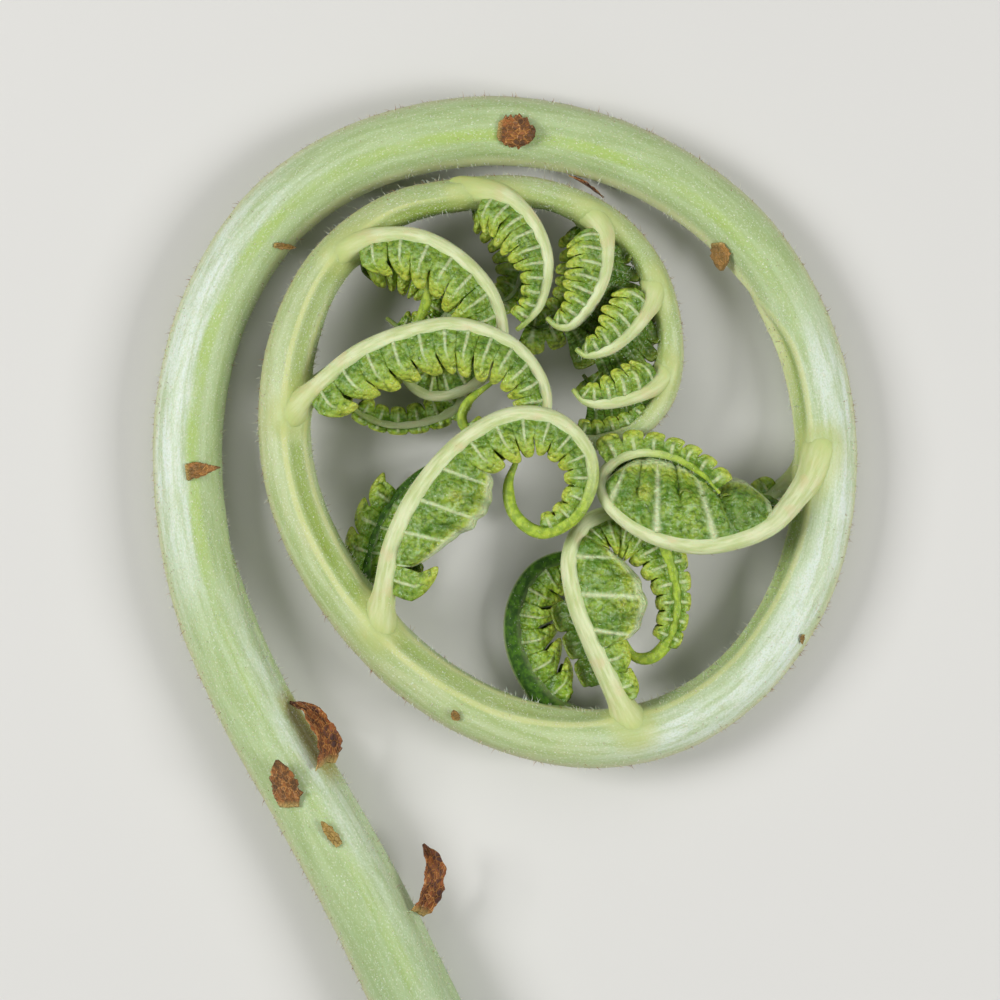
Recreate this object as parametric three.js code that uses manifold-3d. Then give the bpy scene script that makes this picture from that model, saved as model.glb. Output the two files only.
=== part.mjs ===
// A young fern frond, still coiled, cut from its plant and lying on its side.
// Millimetres, +Z up. The stalk starts at its cut end and coils clockwise, seen from above.
import * as THREE from 'three';
import Module from 'manifold-3d';

// Where the middle of the outline sits.
const CENTRE_X = 0.0;
const CENTRE_Y = 0.65;

// Stalk: centre line in plan and radius, from the cut end to the tip of the frond.
const STALK = [
  [-3.3, -31.1, 2.62], [-5.8, -25.8, 2.56], [-8.9, -19.5, 2.5], [-12.4, -13.2, 2.44],
  [-16.0, -7.0, 2.31], [-18.6, -0.8, 2.25], [-19.9, 5.5, 2.12], [-19.8, 11.8, 2.12],
  [-18.1, 18.0, 2.12], [-14.2, 23.8, 2.12], [-8.1, 27.5, 2.12], [-0.3, 28.8, 2.12],
  [7.8, 27.1, 2.0], [14.6, 22.6, 1.94], [18.8, 16.1, 1.88], [20.3, 8.6, 1.88],
  [19.2, 1.1, 1.88], [15.8, -4.8, 1.81], [10.9, -8.4, 1.81], [5.3, -9.5, 1.78],
  [-0.6, -8.2, 1.75], [-5.9, -5.0, 1.75], [-10.2, -0.2, 1.69], [-12.9, 5.0, 1.62],
  [-13.8, 10.2, 1.59], [-13.2, 15.5, 1.5], [-11.1, 20.1, 1.31], [-7.3, 23.4, 1.12],
  [-2.8, 24.6, 1.0], [1.9, 24.7, 0.94], [6.2, 23.1, 0.88], [9.1, 20.0, 0.81],
  [10.3, 16.1, 0.78], [10.1, 12.5, 0.72], [8.4, 10.1, 0.66], [5.9, 9.2, 0.56],
  [3.8, 9.4, 0.44],
];
const STALK_SIDES = 12;
const STALK_STEP = 1.5; // spacing of the sections, in radii
const GROOVE_DEPTH = 0.8; // radius at the bottom of the groove on the inner side
const RIDGE = 1.02; // radius at the two ridges beside the groove
const REST_PRESS = 0.12; // how much of the round is flattened where the stalk lies
const INNER_HEIGHT = 3.9; // height of the inner turn's centre line
const RISE_FROM = 112; // where the stalk starts to rise, along its length
const RISE_OVER = 38;

// Leaflets (pinnae). Each path is the midrib, with heights; radius is at its root and tail.
// Near ones lie on the upper side of the coil, far ones under it.
const RIB_SIDES = 6;
const RIB_FLARE = [0.3, 1.6]; // extra radius at the root, and the distance it fades over
const RIB_FULL = 1.08; // corner against radius, so that the flats don't thin it
const RIB_STEPS = 2; // sections between two points
const NEAR = [
  { path: [[19.9, 8.8, 2.3], [18.7, 6.4, 3.6], [16.7, 4.1, 4.9], [14.2, 3.0, 5.8],
    [11.6, 2.7, 6.3], [8.8, 3.4, 6.4], [6.7, 4.9, 6.1], [6.0, 6.5, 5.6], [6.8, 7.9, 5.0],
    [8.6, 8.5, 4.6], [10.7, 8.2, 4.4], [12.4, 7.1, 4.3], [13.3, 6.0, 4.2]],
  radius: [0.75, 0.24], from: 4.6, lobes: 13, width: 4.4, fill: 0.5 },
  { path: [[8.1, -8.8, 3.2], [6.7, -6.0, 4.2], [5.4, -3.2, 4.9], [4.4, -0.6, 5.0],
    [4.1, 2.0, 4.7], [5.1, 4.0, 4.2], [7.3, 4.8, 3.9], [9.8, 3.8, 3.8], [11.3, 1.2, 3.7],
    [11.5, -1.5, 3.6], [10.4, -3.8, 3.5], [8.6, -4.4, 3.5], [7.7, -3.2, 3.5]],
  radius: [0.72, 0.24], from: 3.4, lobes: 17, width: 3.9, fill: 0.35 },
  { path: [[-7.8, -2.5, 4.2], [-7.4, 0.2, 5.6], [-6.9, 2.7, 6.4], [-5.8, 5.2, 6.9],
    [-4.2, 7.5, 7.1], [-2.2, 9.4, 7.2], [0.4, 10.7, 7.2], [3.0, 10.5, 7.2], [4.9, 8.8, 7.0],
    [5.3, 6.6, 6.8], [4.2, 4.4, 6.6], [2.2, 3.5, 6.3], [0.6, 4.6, 6.0], [0.2, 6.4, 5.8],
    [0.7, 7.9, 5.6]],
  radius: [0.68, 0.22], from: 2.6, lobes: 22, width: 3.7 },
  { path: [[-13.4, 10.8, 4.4], [-11.2, 13.2, 5.6], [-8.9, 15.1, 6.2], [-5.9, 16.3, 6.5],
    [-2.8, 16.7, 6.6], [0.4, 15.6, 6.5], [2.2, 13.6, 6.0], [2.6, 11.4, 5.5], [1.4, 9.5, 5.1],
    [-0.9, 9.0, 4.9], [-2.6, 10.2, 4.9], [-2.3, 11.6, 5.0], [-0.8, 12.8, 5.1]],
  radius: [0.58, 0.22], from: 2.6, lobes: 20, width: 3.0 },
  { path: [[-10.4, 21.0, 4.6], [-7.9, 22.2, 5.4], [-5.3, 22.2, 5.7], [-2.8, 20.9, 5.6],
    [-0.9, 18.8, 5.2], [-0.2, 16.2, 4.5], [-0.8, 13.8, 4.0], [-2.7, 12.4, 3.8],
    [-4.7, 12.1, 3.7], [-6.1, 13.1, 3.7], [-5.9, 14.9, 3.8]],
  radius: [0.5, 0.22], from: 2.6, lobes: 15, width: 2.9 },
  { path: [[-2.6, 24.8, 3.9], [-0.2, 24.4, 5.0], [1.6, 22.9, 5.5], [2.6, 20.4, 5.5],
    [2.2, 17.9, 5.0], [1.2, 16.5, 4.6]],
  radius: [0.45, 0.25], from: 2.2, lobes: 9, width: 2.7 },
  { path: [[5.3, 23.8, 3.9], [6.2, 21.9, 5.1], [6.2, 19.8, 5.4], [5.4, 17.8, 5.2],
    [4.1, 16.4, 4.8], [3.2, 16.4, 4.5]],
  radius: [0.45, 0.25], from: 1.8, lobes: 8, width: 2.6 },
  { path: [[9.4, 19.0, 3.9], [8.5, 16.8, 5.1], [6.8, 15.1, 5.4], [5.2, 14.5, 5.2],
    [4.4, 14.9, 5.0]],
  radius: [0.4, 0.24], from: 1.7, lobes: 6, width: 2.4 },
  { path: [[10.2, 13.8, 3.8], [8.8, 12.3, 4.9], [6.8, 11.6, 5.2], [5.1, 11.6, 5.0],
    [4.2, 12.4, 4.9]],
  radius: [0.35, 0.24], from: 1.6, lobes: 5, width: 2.1 },
];
const FAR = [
  { path: [[19.8, 8.5, 1.2], [18.4, 7.0, 1.0], [16.4, 5.6, 1.1], [14.1, 4.8, 1.3],
    [11.9, 5.1, 1.6], [10.4, 6.2, 1.8], [10.6, 7.5, 1.9]],
  radius: [0.6, 0.24], from: 3.4, lobes: 6, width: 2.0 },
  { path: [[6.1, -8.5, 2.2], [3.0, -7.0, 1.6], [0.8, -4.2, 1.4], [0.4, -1.1, 1.4],
    [1.8, 1.6, 1.4], [4.2, 2.2, 1.5], [5.9, 0.5, 1.6], [5.9, -1.9, 1.7], [4.4, -3.2, 1.8]],
  radius: [0.66, 0.24], from: 3.6, lobes: 12, width: 3.0 },
  { path: [[-8.2, -2.0, 3.2], [-8.7, 0.4, 2.6], [-8.3, 3.0, 2.1], [-7.1, 5.4, 1.8],
    [-5.1, 7.3, 1.6], [-2.9, 7.8, 1.6], [-1.7, 6.6, 1.7], [-2.2, 4.9, 1.8], [-3.6, 4.2, 1.9]],
  radius: [0.6, 0.24], from: 2.8, lobes: 10, width: 2.3 },
  { path: [[-13.2, 11.0, 3.2], [-10.9, 13.5, 2.5], [-7.7, 15.2, 2.0], [-4.4, 15.0, 1.7],
    [-2.4, 13.2, 1.6], [-3.1, 11.3, 1.6], [-5.0, 10.4, 1.7], [-7.2, 10.2, 1.8],
    [-9.1, 10.9, 1.9]],
  radius: [0.55, 0.24], from: 2.8, lobes: 11, width: 2.0 },
  { path: [[-10.9, 20.0, 3.2], [-8.9, 21.0, 2.6], [-6.6, 21.1, 2.1], [-4.4, 20.0, 1.8],
    [-3.5, 18.1, 1.7], [-4.4, 16.5, 1.7], [-6.2, 16.2, 1.8], [-7.6, 17.2, 1.9],
    [-7.4, 18.6, 1.9]],
  radius: [0.48, 0.22], from: 2.6, lobes: 9, width: 2.2 },
  { path: [[-3.3, 24.7, 3.6], [-1.1, 24.2, 3.0], [0.5, 22.6, 2.5], [1.1, 20.4, 2.2],
    [0.5, 18.5, 2.1], [-0.9, 17.9, 2.1], [-1.9, 18.8, 2.2]],
  radius: [0.42, 0.22], from: 2.0, lobes: 7, width: 2.0 },
  { path: [[4.4, 24.1, 3.6], [5.2, 22.4, 3.0], [5.3, 20.4, 2.5], [4.6, 18.6, 2.3],
    [3.2, 17.8, 2.2]],
  radius: [0.42, 0.24], from: 1.8, lobes: 6, width: 1.6 },
  { path: [[9.1, 19.2, 3.6], [8.1, 17.5, 3.0], [6.6, 16.4, 2.6], [5.1, 16.1, 2.4]],
  radius: [0.38, 0.24], from: 1.7, lobes: 5, width: 1.5 },
  { path: [[10.1, 14.2, 3.7], [8.8, 13.0, 3.1], [6.9, 12.5, 2.7], [5.6, 12.6, 2.6],
    [4.9, 13.4, 2.6]],
  radius: [0.34, 0.24], from: 1.6, lobes: 5, width: 1.5 },
];

// Blade of a leaflet: a folded sheet on the inner side of the midrib, both halves cut into lobes.
const BLADE_THICK = 0.6;
const BLADE_GAP = 0.2; // between midrib and blade
const FOLD_HALF = 0.44; // half the width of the fold along the midrib
const OPEN_UP = { near: 16, far: 9, tip: 2 }; // how far the halves stand open, in degrees
const OPEN_DOWN = { near: 6, far: 6, tip: 9 };
const UNDER_WIDTH = 0.75; // the lower half against the upper one
const FILL = 0.75; // blade width at the root against its full width
const TAIL_WIDTH = 1.05; // blade width at the thin end
const TAIL_BARE = 0.055; // share of the midrib that has no blade, at its end
const PITCH_FALL = 0.96; // each lobe against the one before it
const SINUS = 0.55; // where the cuts between the lobes end
const LOBE_MID = 0.82;
const CUT_LEAST = 0.36; // least length from the fold to a cut
const HALF_LEAST = 0.72; // least length of a folded half
const TAIL_SINK = 0.5; // how far the flat tail runs into the folded part
const WIDTH_LIMIT = 0.8; // of the curl's own radius
const TIP = { from: 207, to: 212.4, lobes: 5, width: 1.6 };

// Scales: place along the stalk, side (90 is on top), lean to the stalk's direction,
// length, width, first lift off the surface and curl, in degrees.
const SCALE_THICK = 0.6;
const SCALE_GAP = 0.15;
const SCALES = [
  { at: 10.6, side: 28, turn: -4, length: 4.2, width: 1.7, lift: 58, curl: -80 },
  { at: 17.2, side: 84, turn: -10, length: 1.6, width: 0.9, lift: 4, curl: 6 },
  { at: 20.6, side: 96, turn: 20, length: 2.9, width: 2.0, lift: 6, curl: 14 },
  { at: 21.4, side: 30, turn: -4, length: 5.4, width: 2.1, lift: 64, curl: -120 },
  { at: 42.2, side: 80, turn: -85, length: 1.9, width: 1.7, lift: 4, curl: 4 },
  { at: 58.2, side: 49, turn: -40, length: 1.5, width: 0.7, lift: 4, curl: 4 },
  { at: 75.2, side: 86, turn: -6, length: 2.4, width: 2.0, lift: 6, curl: 10 },
  { at: 80.3, side: -8, turn: 0, length: 2.6, width: 1.3, lift: 5, curl: 10 },
  { at: 91.6, side: 36, turn: -30, length: 1.9, width: 1.4, lift: 14, curl: 10 },
];

const wasm = await Module();
wasm.setup();

const skin = {
  stalk: new THREE.MeshStandardMaterial({ color: 0xb2c690, roughness: 0.55, metalness: 0 }),
  near: new THREE.MeshStandardMaterial({ color: 0x6f9a2e, roughness: 0.6, metalness: 0 }),
  far: new THREE.MeshStandardMaterial({ color: 0x4f7a24, roughness: 0.6, metalness: 0 }),
  scale: new THREE.MeshStandardMaterial({ color: 0x85502c, roughness: 0.8, metalness: 0 }),
};

const radians = THREE.MathUtils.degToRad;
const smooth = THREE.MathUtils.smoothstep;

// A curve that is read by distance along it.
function measured(curve, samples) {
  const reach = [0];
  let last = curve.getPoint(0);
  for (let i = 1; i <= samples; i += 1) {
    const point = curve.getPoint(i / samples);
    reach.push(reach[i - 1] + Math.hypot(point.x - last.x, point.y - last.y, point.z - last.z));
    last = point;
  }
  const share = (distance) => {
    let low = 0;
    let high = samples;
    while (high - low > 1) {
      const half = (low + high) >> 1;
      if (reach[half] <= distance) low = half;
      else high = half;
    }
    return (low + (distance - reach[low]) / (reach[high] - reach[low])) / samples;
  };
  return { length: reach[samples], share };
}

function curveThrough(points) {
  const vectors = points.map((p) => new THREE.Vector3(p[0], p[1], p[2]));
  return new THREE.CatmullRomCurve3(vectors, false, 'catmullrom', 0.5);
}

// Position and directions: along, inward (to the right of the way along) and up.
function frameOn(place, distance, length) {
  const before = place(Math.max(0, distance - 0.2));
  const after = place(Math.min(length, distance + 0.2));
  const along = after.clone().sub(before).normalize();
  const inward = new THREE.Vector3(along.y, -along.x, 0).normalize();
  const up = inward.clone().cross(along);
  return { point: place(distance), along, inward, up };
}

const stalkPlan = curveThrough(STALK.map((p) => [p[0], p[1], 0]));
const stalkGirth = curveThrough(STALK.map((p) => [p[2], 0, 0]));
const stalkRule = measured(stalkPlan, 3000);

function stalkRadius(distance) {
  return stalkGirth.getPoint(stalkRule.share(distance)).x;
}

function stalkPoint(distance) {
  const point = stalkPlan.getPoint(stalkRule.share(distance));
  const low = stalkRadius(distance) - REST_PRESS;
  const rise = smooth(distance, RISE_FROM, RISE_FROM + RISE_OVER);
  point.z = low + (INNER_HEIGHT - low) * rise;
  return point;
}

const stalkLine = {
  length: stalkRule.length,
  radius: stalkRadius,
  frame: (distance) => frameOn(stalkPoint, distance, stalkRule.length),
};

function ribLine(leaflet) {
  const curve = curveThrough(leaflet.path);
  const rule = measured(curve, 600);
  const place = (distance) => curve.getPoint(rule.share(distance));
  const [root, tail] = leaflet.radius;
  return {
    length: rule.length,
    radius: (distance) => root + (tail - root) * (distance / rule.length)
      + RIB_FLARE[0] * root * Math.exp(-distance / RIB_FLARE[1]),
    frame: (distance) => frameOn(place, distance, rule.length),
    stations: leaflet.path.length * RIB_STEPS - RIB_STEPS,
    reach: (station, count) => {
      const ahead = curve.getPoint(station / count);
      let best = 0;
      for (let i = 1; i <= 600; i += 1) {
        const d = (i / 600) * rule.length;
        if (place(d).distanceTo(ahead) < place(best).distanceTo(ahead)) best = d;
      }
      return best;
    },
  };
}

function geometryOf(positions, triangles) {
  const geometry = new THREE.BufferGeometry();
  geometry.setAttribute('position', new THREE.Float32BufferAttribute(positions, 3));
  geometry.setIndex(triangles);
  return geometry;
}

// Closed skin over a row of rings, with a flat end at each side.
function loft(rings) {
  const sides = rings[0].length;
  const positions = [];
  const triangles = [];
  rings.flat().forEach((p) => positions.push(p.x, p.y, p.z));
  for (let i = 0; i + 1 < rings.length; i += 1) {
    for (let k = 0; k < sides; k += 1) {
      const a = i * sides + k;
      const b = i * sides + ((k + 1) % sides);
      triangles.push(a, b + sides, b, a, a + sides, b + sides);
    }
  }
  for (const end of [0, rings.length - 1]) {
    const middle = new THREE.Vector3();
    rings[end].forEach((p) => middle.addScaledVector(p, 1 / sides));
    const hub = positions.length / 3;
    positions.push(middle.x, middle.y, middle.z);
    for (let k = 0; k < sides; k += 1) {
      const a = end * sides + k;
      const b = end * sides + ((k + 1) % sides);
      if (end === 0) triangles.push(hub, a, b);
      else triangles.push(hub, b, a);
    }
  }
  return geometryOf(positions, triangles);
}

// Closed sheet from two faces with the same triangles, joined round every free edge.
function closedSheet(outer, inner, faces) {
  const count = outer.length;
  const positions = [];
  outer.concat(inner).forEach((p) => positions.push(p.x, p.y, p.z));
  const triangles = [];
  const edges = new Map();
  for (const [a, b, c] of faces) {
    triangles.push(a, b, c, a + count, c + count, b + count);
    for (const [p, q] of [[a, b], [b, c], [c, a]]) edges.set(`${p} ${q}`, [p, q]);
  }
  for (const [p, q] of edges.values()) {
    if (edges.has(`${q} ${p}`)) continue;
    triangles.push(q, p, p + count, q, p + count, q + count);
  }
  return geometryOf(positions, triangles);
}

function solidOf(geometry) {
  return new wasm.Manifold(new wasm.Mesh({
    numProp: 3,
    vertProperties: new Float32Array(geometry.getAttribute('position').array),
    triVerts: new Uint32Array(geometry.getIndex().array),
  }));
}

function stalkGeometry() {
  const rings = [];
  const reach = 1 / Math.cos(Math.PI / STALK_SIDES);
  let distance = 0;
  for (;;) {
    const { point, inward, up } = stalkLine.frame(distance);
    const radius = stalkRadius(distance);
    const ring = [];
    for (let k = 0; k < STALK_SIDES; k += 1) {
      const angle = ((k + 0.5) * 2 * Math.PI) / STALK_SIDES;
      let girth = radius * reach;
      if (k === 0) girth *= GROOVE_DEPTH;
      if (k === 1 || k === STALK_SIDES - 1) girth *= RIDGE;
      const corner = point.clone();
      corner.addScaledVector(inward, girth * Math.cos(angle));
      corner.addScaledVector(up, girth * Math.sin(angle));
      corner.z = Math.max(0, corner.z);
      ring.push(corner);
    }
    rings.push(ring);
    if (distance >= stalkLine.length) break;
    const step = STALK_STEP * radius;
    distance = stalkLine.length - distance < 1.5 * step ? stalkLine.length : distance + step;
  }
  return loft(rings);
}

function ribGeometry(line) {
  const rings = [];
  for (let i = 0; i <= line.stations; i += 1) {
    const distance = line.reach(i, line.stations);
    const { point, inward, up } = line.frame(distance);
    const radius = line.radius(distance);
    const ring = [];
    for (let k = 0; k < RIB_SIDES; k += 1) {
      const angle = ((k + 0.5) * 2 * Math.PI) / RIB_SIDES;
      const corner = point.clone();
      corner.addScaledVector(inward, radius * RIB_FULL * Math.cos(angle));
      corner.addScaledVector(up, radius * RIB_FULL * Math.sin(angle));
      ring.push(corner);
    }
    rings.push(ring);
  }
  return loft(rings);
}

// Radius of the curl at a place, measured over a short stretch.
function curlRadius(line, distance) {
  const a = line.frame(Math.max(0, distance - 0.7)).along;
  const b = line.frame(Math.min(line.length, distance + 0.7)).along;
  return 1.4 / Math.max(1e-3, a.angleTo(b));
}

// How far the blade reaches from the midrib's centre: it fills out near the root, thins to the
// tail and stays inside the curl.
function bladeReach(line, distance, leaflet) {
  const share = distance / line.length;
  const root = leaflet.fill ?? FILL;
  const fill = Math.min(1, root + 1.2 * share);
  const thin = 1 - smooth(share, 0.42, 0.85);
  const full = TAIL_WIDTH + (leaflet.width * fill - TAIL_WIDTH) * thin;
  return Math.min(full, WIDTH_LIMIT * curlRadius(line, distance));
}

function foldStart(line, distance) {
  return line.radius(distance) + BLADE_GAP + BLADE_THICK / 2;
}

// Length from the fold at a share of the way to the lobe's point.
function lengthAt(share, whole) {
  if (share === 0) return 0;
  const cut = Math.max(SINUS * whole, CUT_LEAST);
  return cut + ((share - SINUS) / (1 - SINUS)) * (whole - cut);
}

// Both faces of one vertex of the folded blade: side -1 is the lower half, 1 the upper one.
function foldedPoint(line, distance, side, share, leaflet, row) {
  const { point, inward, up } = line.frame(distance);
  const start = foldStart(line, distance);
  const open = radians(side > 0 ? OPEN_UP[row] : OPEN_DOWN[row]);
  const whole = Math.max(HALF_LEAST, bladeReach(line, distance, leaflet) - start);
  const length = lengthAt(share, side > 0 ? whole : whole * UNDER_WIDTH);
  const normal = new THREE.Vector2(-Math.sin(open), side * Math.cos(open));
  if (share === 0) normal.add(new THREE.Vector2(-1, 0)).divideScalar(1 + Math.sin(open));
  const n = start + length * Math.cos(open);
  const b = side * (FOLD_HALF + length * Math.sin(open));
  return [0.5, -0.5].map((half) => point.clone()
    .addScaledVector(inward, n + half * BLADE_THICK * normal.x)
    .addScaledVector(up, b + half * BLADE_THICK * normal.y));
}

// The thin tail has no room for a fold: one flat row of lobes.
function flatPoint(line, distance, share, leaflet) {
  const { point, inward, up } = line.frame(distance);
  const start = line.radius(distance) + BLADE_GAP;
  const whole = Math.max(0.45, bladeReach(line, distance, leaflet) - start);
  return [0.5, -0.5].map((half) => point.clone()
    .addScaledVector(inward, start + share * whole)
    .addScaledVector(up, half * BLADE_THICK));
}

class Sheet {
  constructor() {
    this.outer = [];
    this.inner = [];
    this.faces = [];
  }

  add([outer, inner]) {
    this.outer.push(outer);
    this.inner.push(inner);
    return this.outer.length - 1;
  }

  quad(a, b, c, d) {
    this.faces.push([a, b, c], [a, c, d]);
  }

  solid() {
    return solidOf(closedSheet(this.outer, this.inner, this.faces));
  }
}

function foldedBlade(line, leaflet, row, lobes) {
  const sheet = new Sheet();
  let before = null;
  for (const { start, pitch } of lobes) {
    const add = (share, side, out) => sheet.add(
      foldedPoint(line, start + share * pitch, side, out, leaflet, row),
    );
    const [first, second] = [0.08, 0.92].map((share) => [
      add(share, -1, SINUS), add(share, -1, 0), add(share, 1, 0), add(share, 1, SINUS),
    ]);
    for (let c = 0; c < 3; c += 1) {
      if (before) sheet.quad(before[c], before[c + 1], first[c + 1], first[c]);
      sheet.quad(first[c], first[c + 1], second[c + 1], second[c]);
    }
    for (const [side, column] of [[-1, 0], [1, 3]]) {
      const low = add(0.17, side, LOBE_MID);
      const high = add(0.86, side, LOBE_MID);
      const point = add(0.6, side, 1);
      if (side > 0) {
        sheet.quad(first[column], low, high, second[column]);
        sheet.faces.push([low, point, high]);
      } else {
        sheet.quad(low, first[column], second[column], high);
        sheet.faces.push([point, low, high]);
      }
    }
    before = second;
  }
  return sheet.solid();
}

function flatTail(line, leaflet, lobes) {
  const sheet = new Sheet();
  let before = null;
  lobes.forEach(({ start, pitch }, i) => {
    const add = (share, out) => sheet.add(flatPoint(line, start + share * pitch, out, leaflet));
    const lead = i === 0 ? -TAIL_SINK / pitch : 0.08;
    const first = [add(lead, 0), add(lead, SINUS)];
    const second = [add(0.92, 0), add(0.92, SINUS)];
    if (before) sheet.quad(before[0], before[1], first[1], first[0]);
    sheet.quad(first[0], first[1], second[1], second[0]);
    sheet.faces.push([first[1], add(0.6, 1), second[1]]);
    before = second;
  });
  return sheet.solid();
}

// Lobes get shorter along the midrib. Where the curl is too tight the fold ends.
function bladeGeometry(line, leaflet, row, to) {
  const lobes = [];
  let total = 0;
  for (let k = 0; k < leaflet.lobes; k += 1) total += PITCH_FALL ** k;
  let start = leaflet.from;
  for (let k = 0; k < leaflet.lobes; k += 1) {
    const pitch = ((to - leaflet.from) * PITCH_FALL ** k) / total;
    lobes.push({ start, pitch });
    start += pitch;
  }
  const tight = lobes.findIndex(({ start: from, pitch }) => [0, 0.5, 1].some((share) => {
    const distance = from + share * pitch;
    const room = bladeReach(line, distance, leaflet) - foldStart(line, distance);
    return room < HALF_LEAST;
  }));
  const fold = tight < 0 ? lobes.length : Math.max(1, tight);
  let blade = foldedBlade(line, leaflet, row, lobes.slice(0, fold));
  if (fold < lobes.length) blade = blade.add(flatTail(line, leaflet, lobes.slice(fold)));
  const mesh = blade.getMesh();
  return geometryOf([...mesh.vertProperties], [...mesh.triVerts]);
}

// A scale: a small pointed sheet that follows the round of the stalk and curls off it.
function scaleGeometry(scale) {
  const { point, along, inward, up } = stalkLine.frame(scale.at);
  const radius = stalkRadius(scale.at);
  const side = radians(scale.side);
  const away = inward.clone().multiplyScalar(Math.cos(side)).addScaledVector(up, Math.sin(side));
  const around = away.clone().cross(along);
  const turn = radians(scale.turn);
  const heading = along.clone().multiplyScalar(Math.cos(turn));
  heading.addScaledVector(around, Math.sin(turn));
  const across = heading.clone().cross(away);
  const base = point.clone();
  base.addScaledVector(away, radius * 1.06 + SCALE_GAP + SCALE_THICK / 2);
  const outer = [];
  const inner = [];
  const faces = [];
  const rows = 6;
  for (let i = 0; i <= rows; i += 1) {
    const share = i / rows;
    const lean = radians(scale.lift + scale.curl * share);
    const normal = away.clone().multiplyScalar(Math.cos(lean));
    normal.addScaledVector(heading, -Math.sin(lean));
    const half = 0.5 * scale.width * (0.25 + 0.75 * Math.sin(Math.PI * (0.2 + 0.72 * share)));
    for (const offset of [-1, 0, 1]) {
      const place = base.clone().addScaledVector(across, offset * half);
      const drop = (half * half * Math.abs(offset)) / (2 * (radius + 0.6));
      place.addScaledVector(away, -drop * Math.cos(lean));
      outer.push(place.clone().addScaledVector(normal, SCALE_THICK / 2));
      inner.push(place.clone().addScaledVector(normal, -SCALE_THICK / 2));
    }
    const step = scale.length / rows;
    const ahead = radians(scale.lift + scale.curl * (share + 0.5 / rows));
    base.addScaledVector(heading, step * Math.cos(ahead));
    base.addScaledVector(away, step * Math.sin(ahead));
  }
  for (let i = 0; i < rows; i += 1) {
    for (let c = 0; c < 2; c += 1) {
      const a = i * 3 + c;
      faces.push([a, a + 1, a + 4], [a, a + 4, a + 3]);
    }
  }
  return closedSheet(outer, inner, faces);
}

const frond = new THREE.Group();
frond.position.set(CENTRE_X, CENTRE_Y, 0);

function place(name, geometry, material) {
  geometry.computeVertexNormals();
  const mesh = new THREE.Mesh(geometry, material.clone());
  mesh.name = name;
  frond.add(mesh);
}

// Stalk and midribs grew as one.
const nearLines = NEAR.map(ribLine);
const farLines = FAR.map(ribLine);
let axis = solidOf(stalkGeometry());
for (const line of [...nearLines, ...farLines]) axis = axis.add(solidOf(ribGeometry(line)));
const joined = axis.getMesh();
place('stalk', geometryOf([...joined.vertProperties], [...joined.triVerts]), skin.stalk);

NEAR.forEach((leaflet, i) => {
  const line = nearLines[i];
  const blade = bladeGeometry(line, leaflet, 'near', line.length * (1 - TAIL_BARE));
  place(`near_blade_${i + 1}`, blade, skin.near);
});
FAR.forEach((leaflet, i) => {
  const line = farLines[i];
  const blade = bladeGeometry(line, leaflet, 'far', line.length * (1 - TAIL_BARE));
  place(`far_blade_${i + 1}`, blade, skin.far);
});
place('tip_blade', bladeGeometry(stalkLine, TIP, 'tip', TIP.to), skin.near);
SCALES.forEach((scale, i) => place(`scale_${i + 1}`, scaleGeometry(scale), skin.scale));

export default frond;
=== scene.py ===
import bisect
import math
import random

import bmesh
import bpy
from mathutils import Matrix, Vector, geometry, kdtree, noise


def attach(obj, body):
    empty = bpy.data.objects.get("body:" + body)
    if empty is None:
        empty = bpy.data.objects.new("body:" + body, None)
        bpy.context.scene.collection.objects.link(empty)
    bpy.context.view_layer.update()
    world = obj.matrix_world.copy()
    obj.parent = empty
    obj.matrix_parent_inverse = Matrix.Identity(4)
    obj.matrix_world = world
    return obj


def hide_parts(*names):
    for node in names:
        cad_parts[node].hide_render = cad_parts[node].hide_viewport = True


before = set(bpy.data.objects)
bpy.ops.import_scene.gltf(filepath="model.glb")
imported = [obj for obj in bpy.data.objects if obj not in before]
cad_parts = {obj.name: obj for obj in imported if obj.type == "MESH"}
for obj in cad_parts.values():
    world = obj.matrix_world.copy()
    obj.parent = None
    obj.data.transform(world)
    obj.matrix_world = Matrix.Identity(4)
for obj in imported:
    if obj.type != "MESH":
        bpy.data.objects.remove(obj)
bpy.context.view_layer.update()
print("frame loaded with", len(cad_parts), "nodes")

mm = 0.001
middle = Vector((0.0, 0.65, 0.0))  # where the plan's origin sits in the frame, in mm
inPlan = Vector((1, 1, 0))  # takes the height out of a point


# ease from 0 to 1 between two values
def easeIn(value, low, high):
    share = min(1.0, max(0.0, (value - low) / (high - low)))
    return share * share * (3 - 2 * share)


# soft hill that is 1 at its top
def hill(value, top, width):
    return math.exp(-(((value - top) / width) ** 2))


# smooth curve through given points, as a list of samples
def throughPoints(points, perSpan):
    spots = [Vector(point) for point in points]
    spots = [2 * spots[0] - spots[1]] + spots + [2 * spots[-1] - spots[-2]]
    samples = []
    for before, start, end, after in zip(spots, spots[1:], spots[2:], spots[3:]):
        leaving = start + (end - before) / 6
        arriving = end - (after - start) / 6
        samples += geometry.interpolate_bezier(start, leaving, arriving, end, perSpan + 1)[:-1]
    return samples + [spots[-2]]


# distance from the first of a row of points, at each of them
def lengthMarks(spots):
    marks = [0.0]
    for start, end in zip(spots, spots[1:]):
        marks.append(marks[-1] + (end - start).length)
    return marks


# a value kept along a line, read at a distance from its start
def lineValue(line, key, distance):
    marks = line["marks"]
    after = bisect.bisect_right(marks, distance, 1, len(marks) - 1)
    share = min(1.0, max(0.0, (distance - marks[after - 1]) / (marks[after] - marks[after - 1])))
    return line[key][after - 1] * (1 - share) + line[key][after] * share


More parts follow.
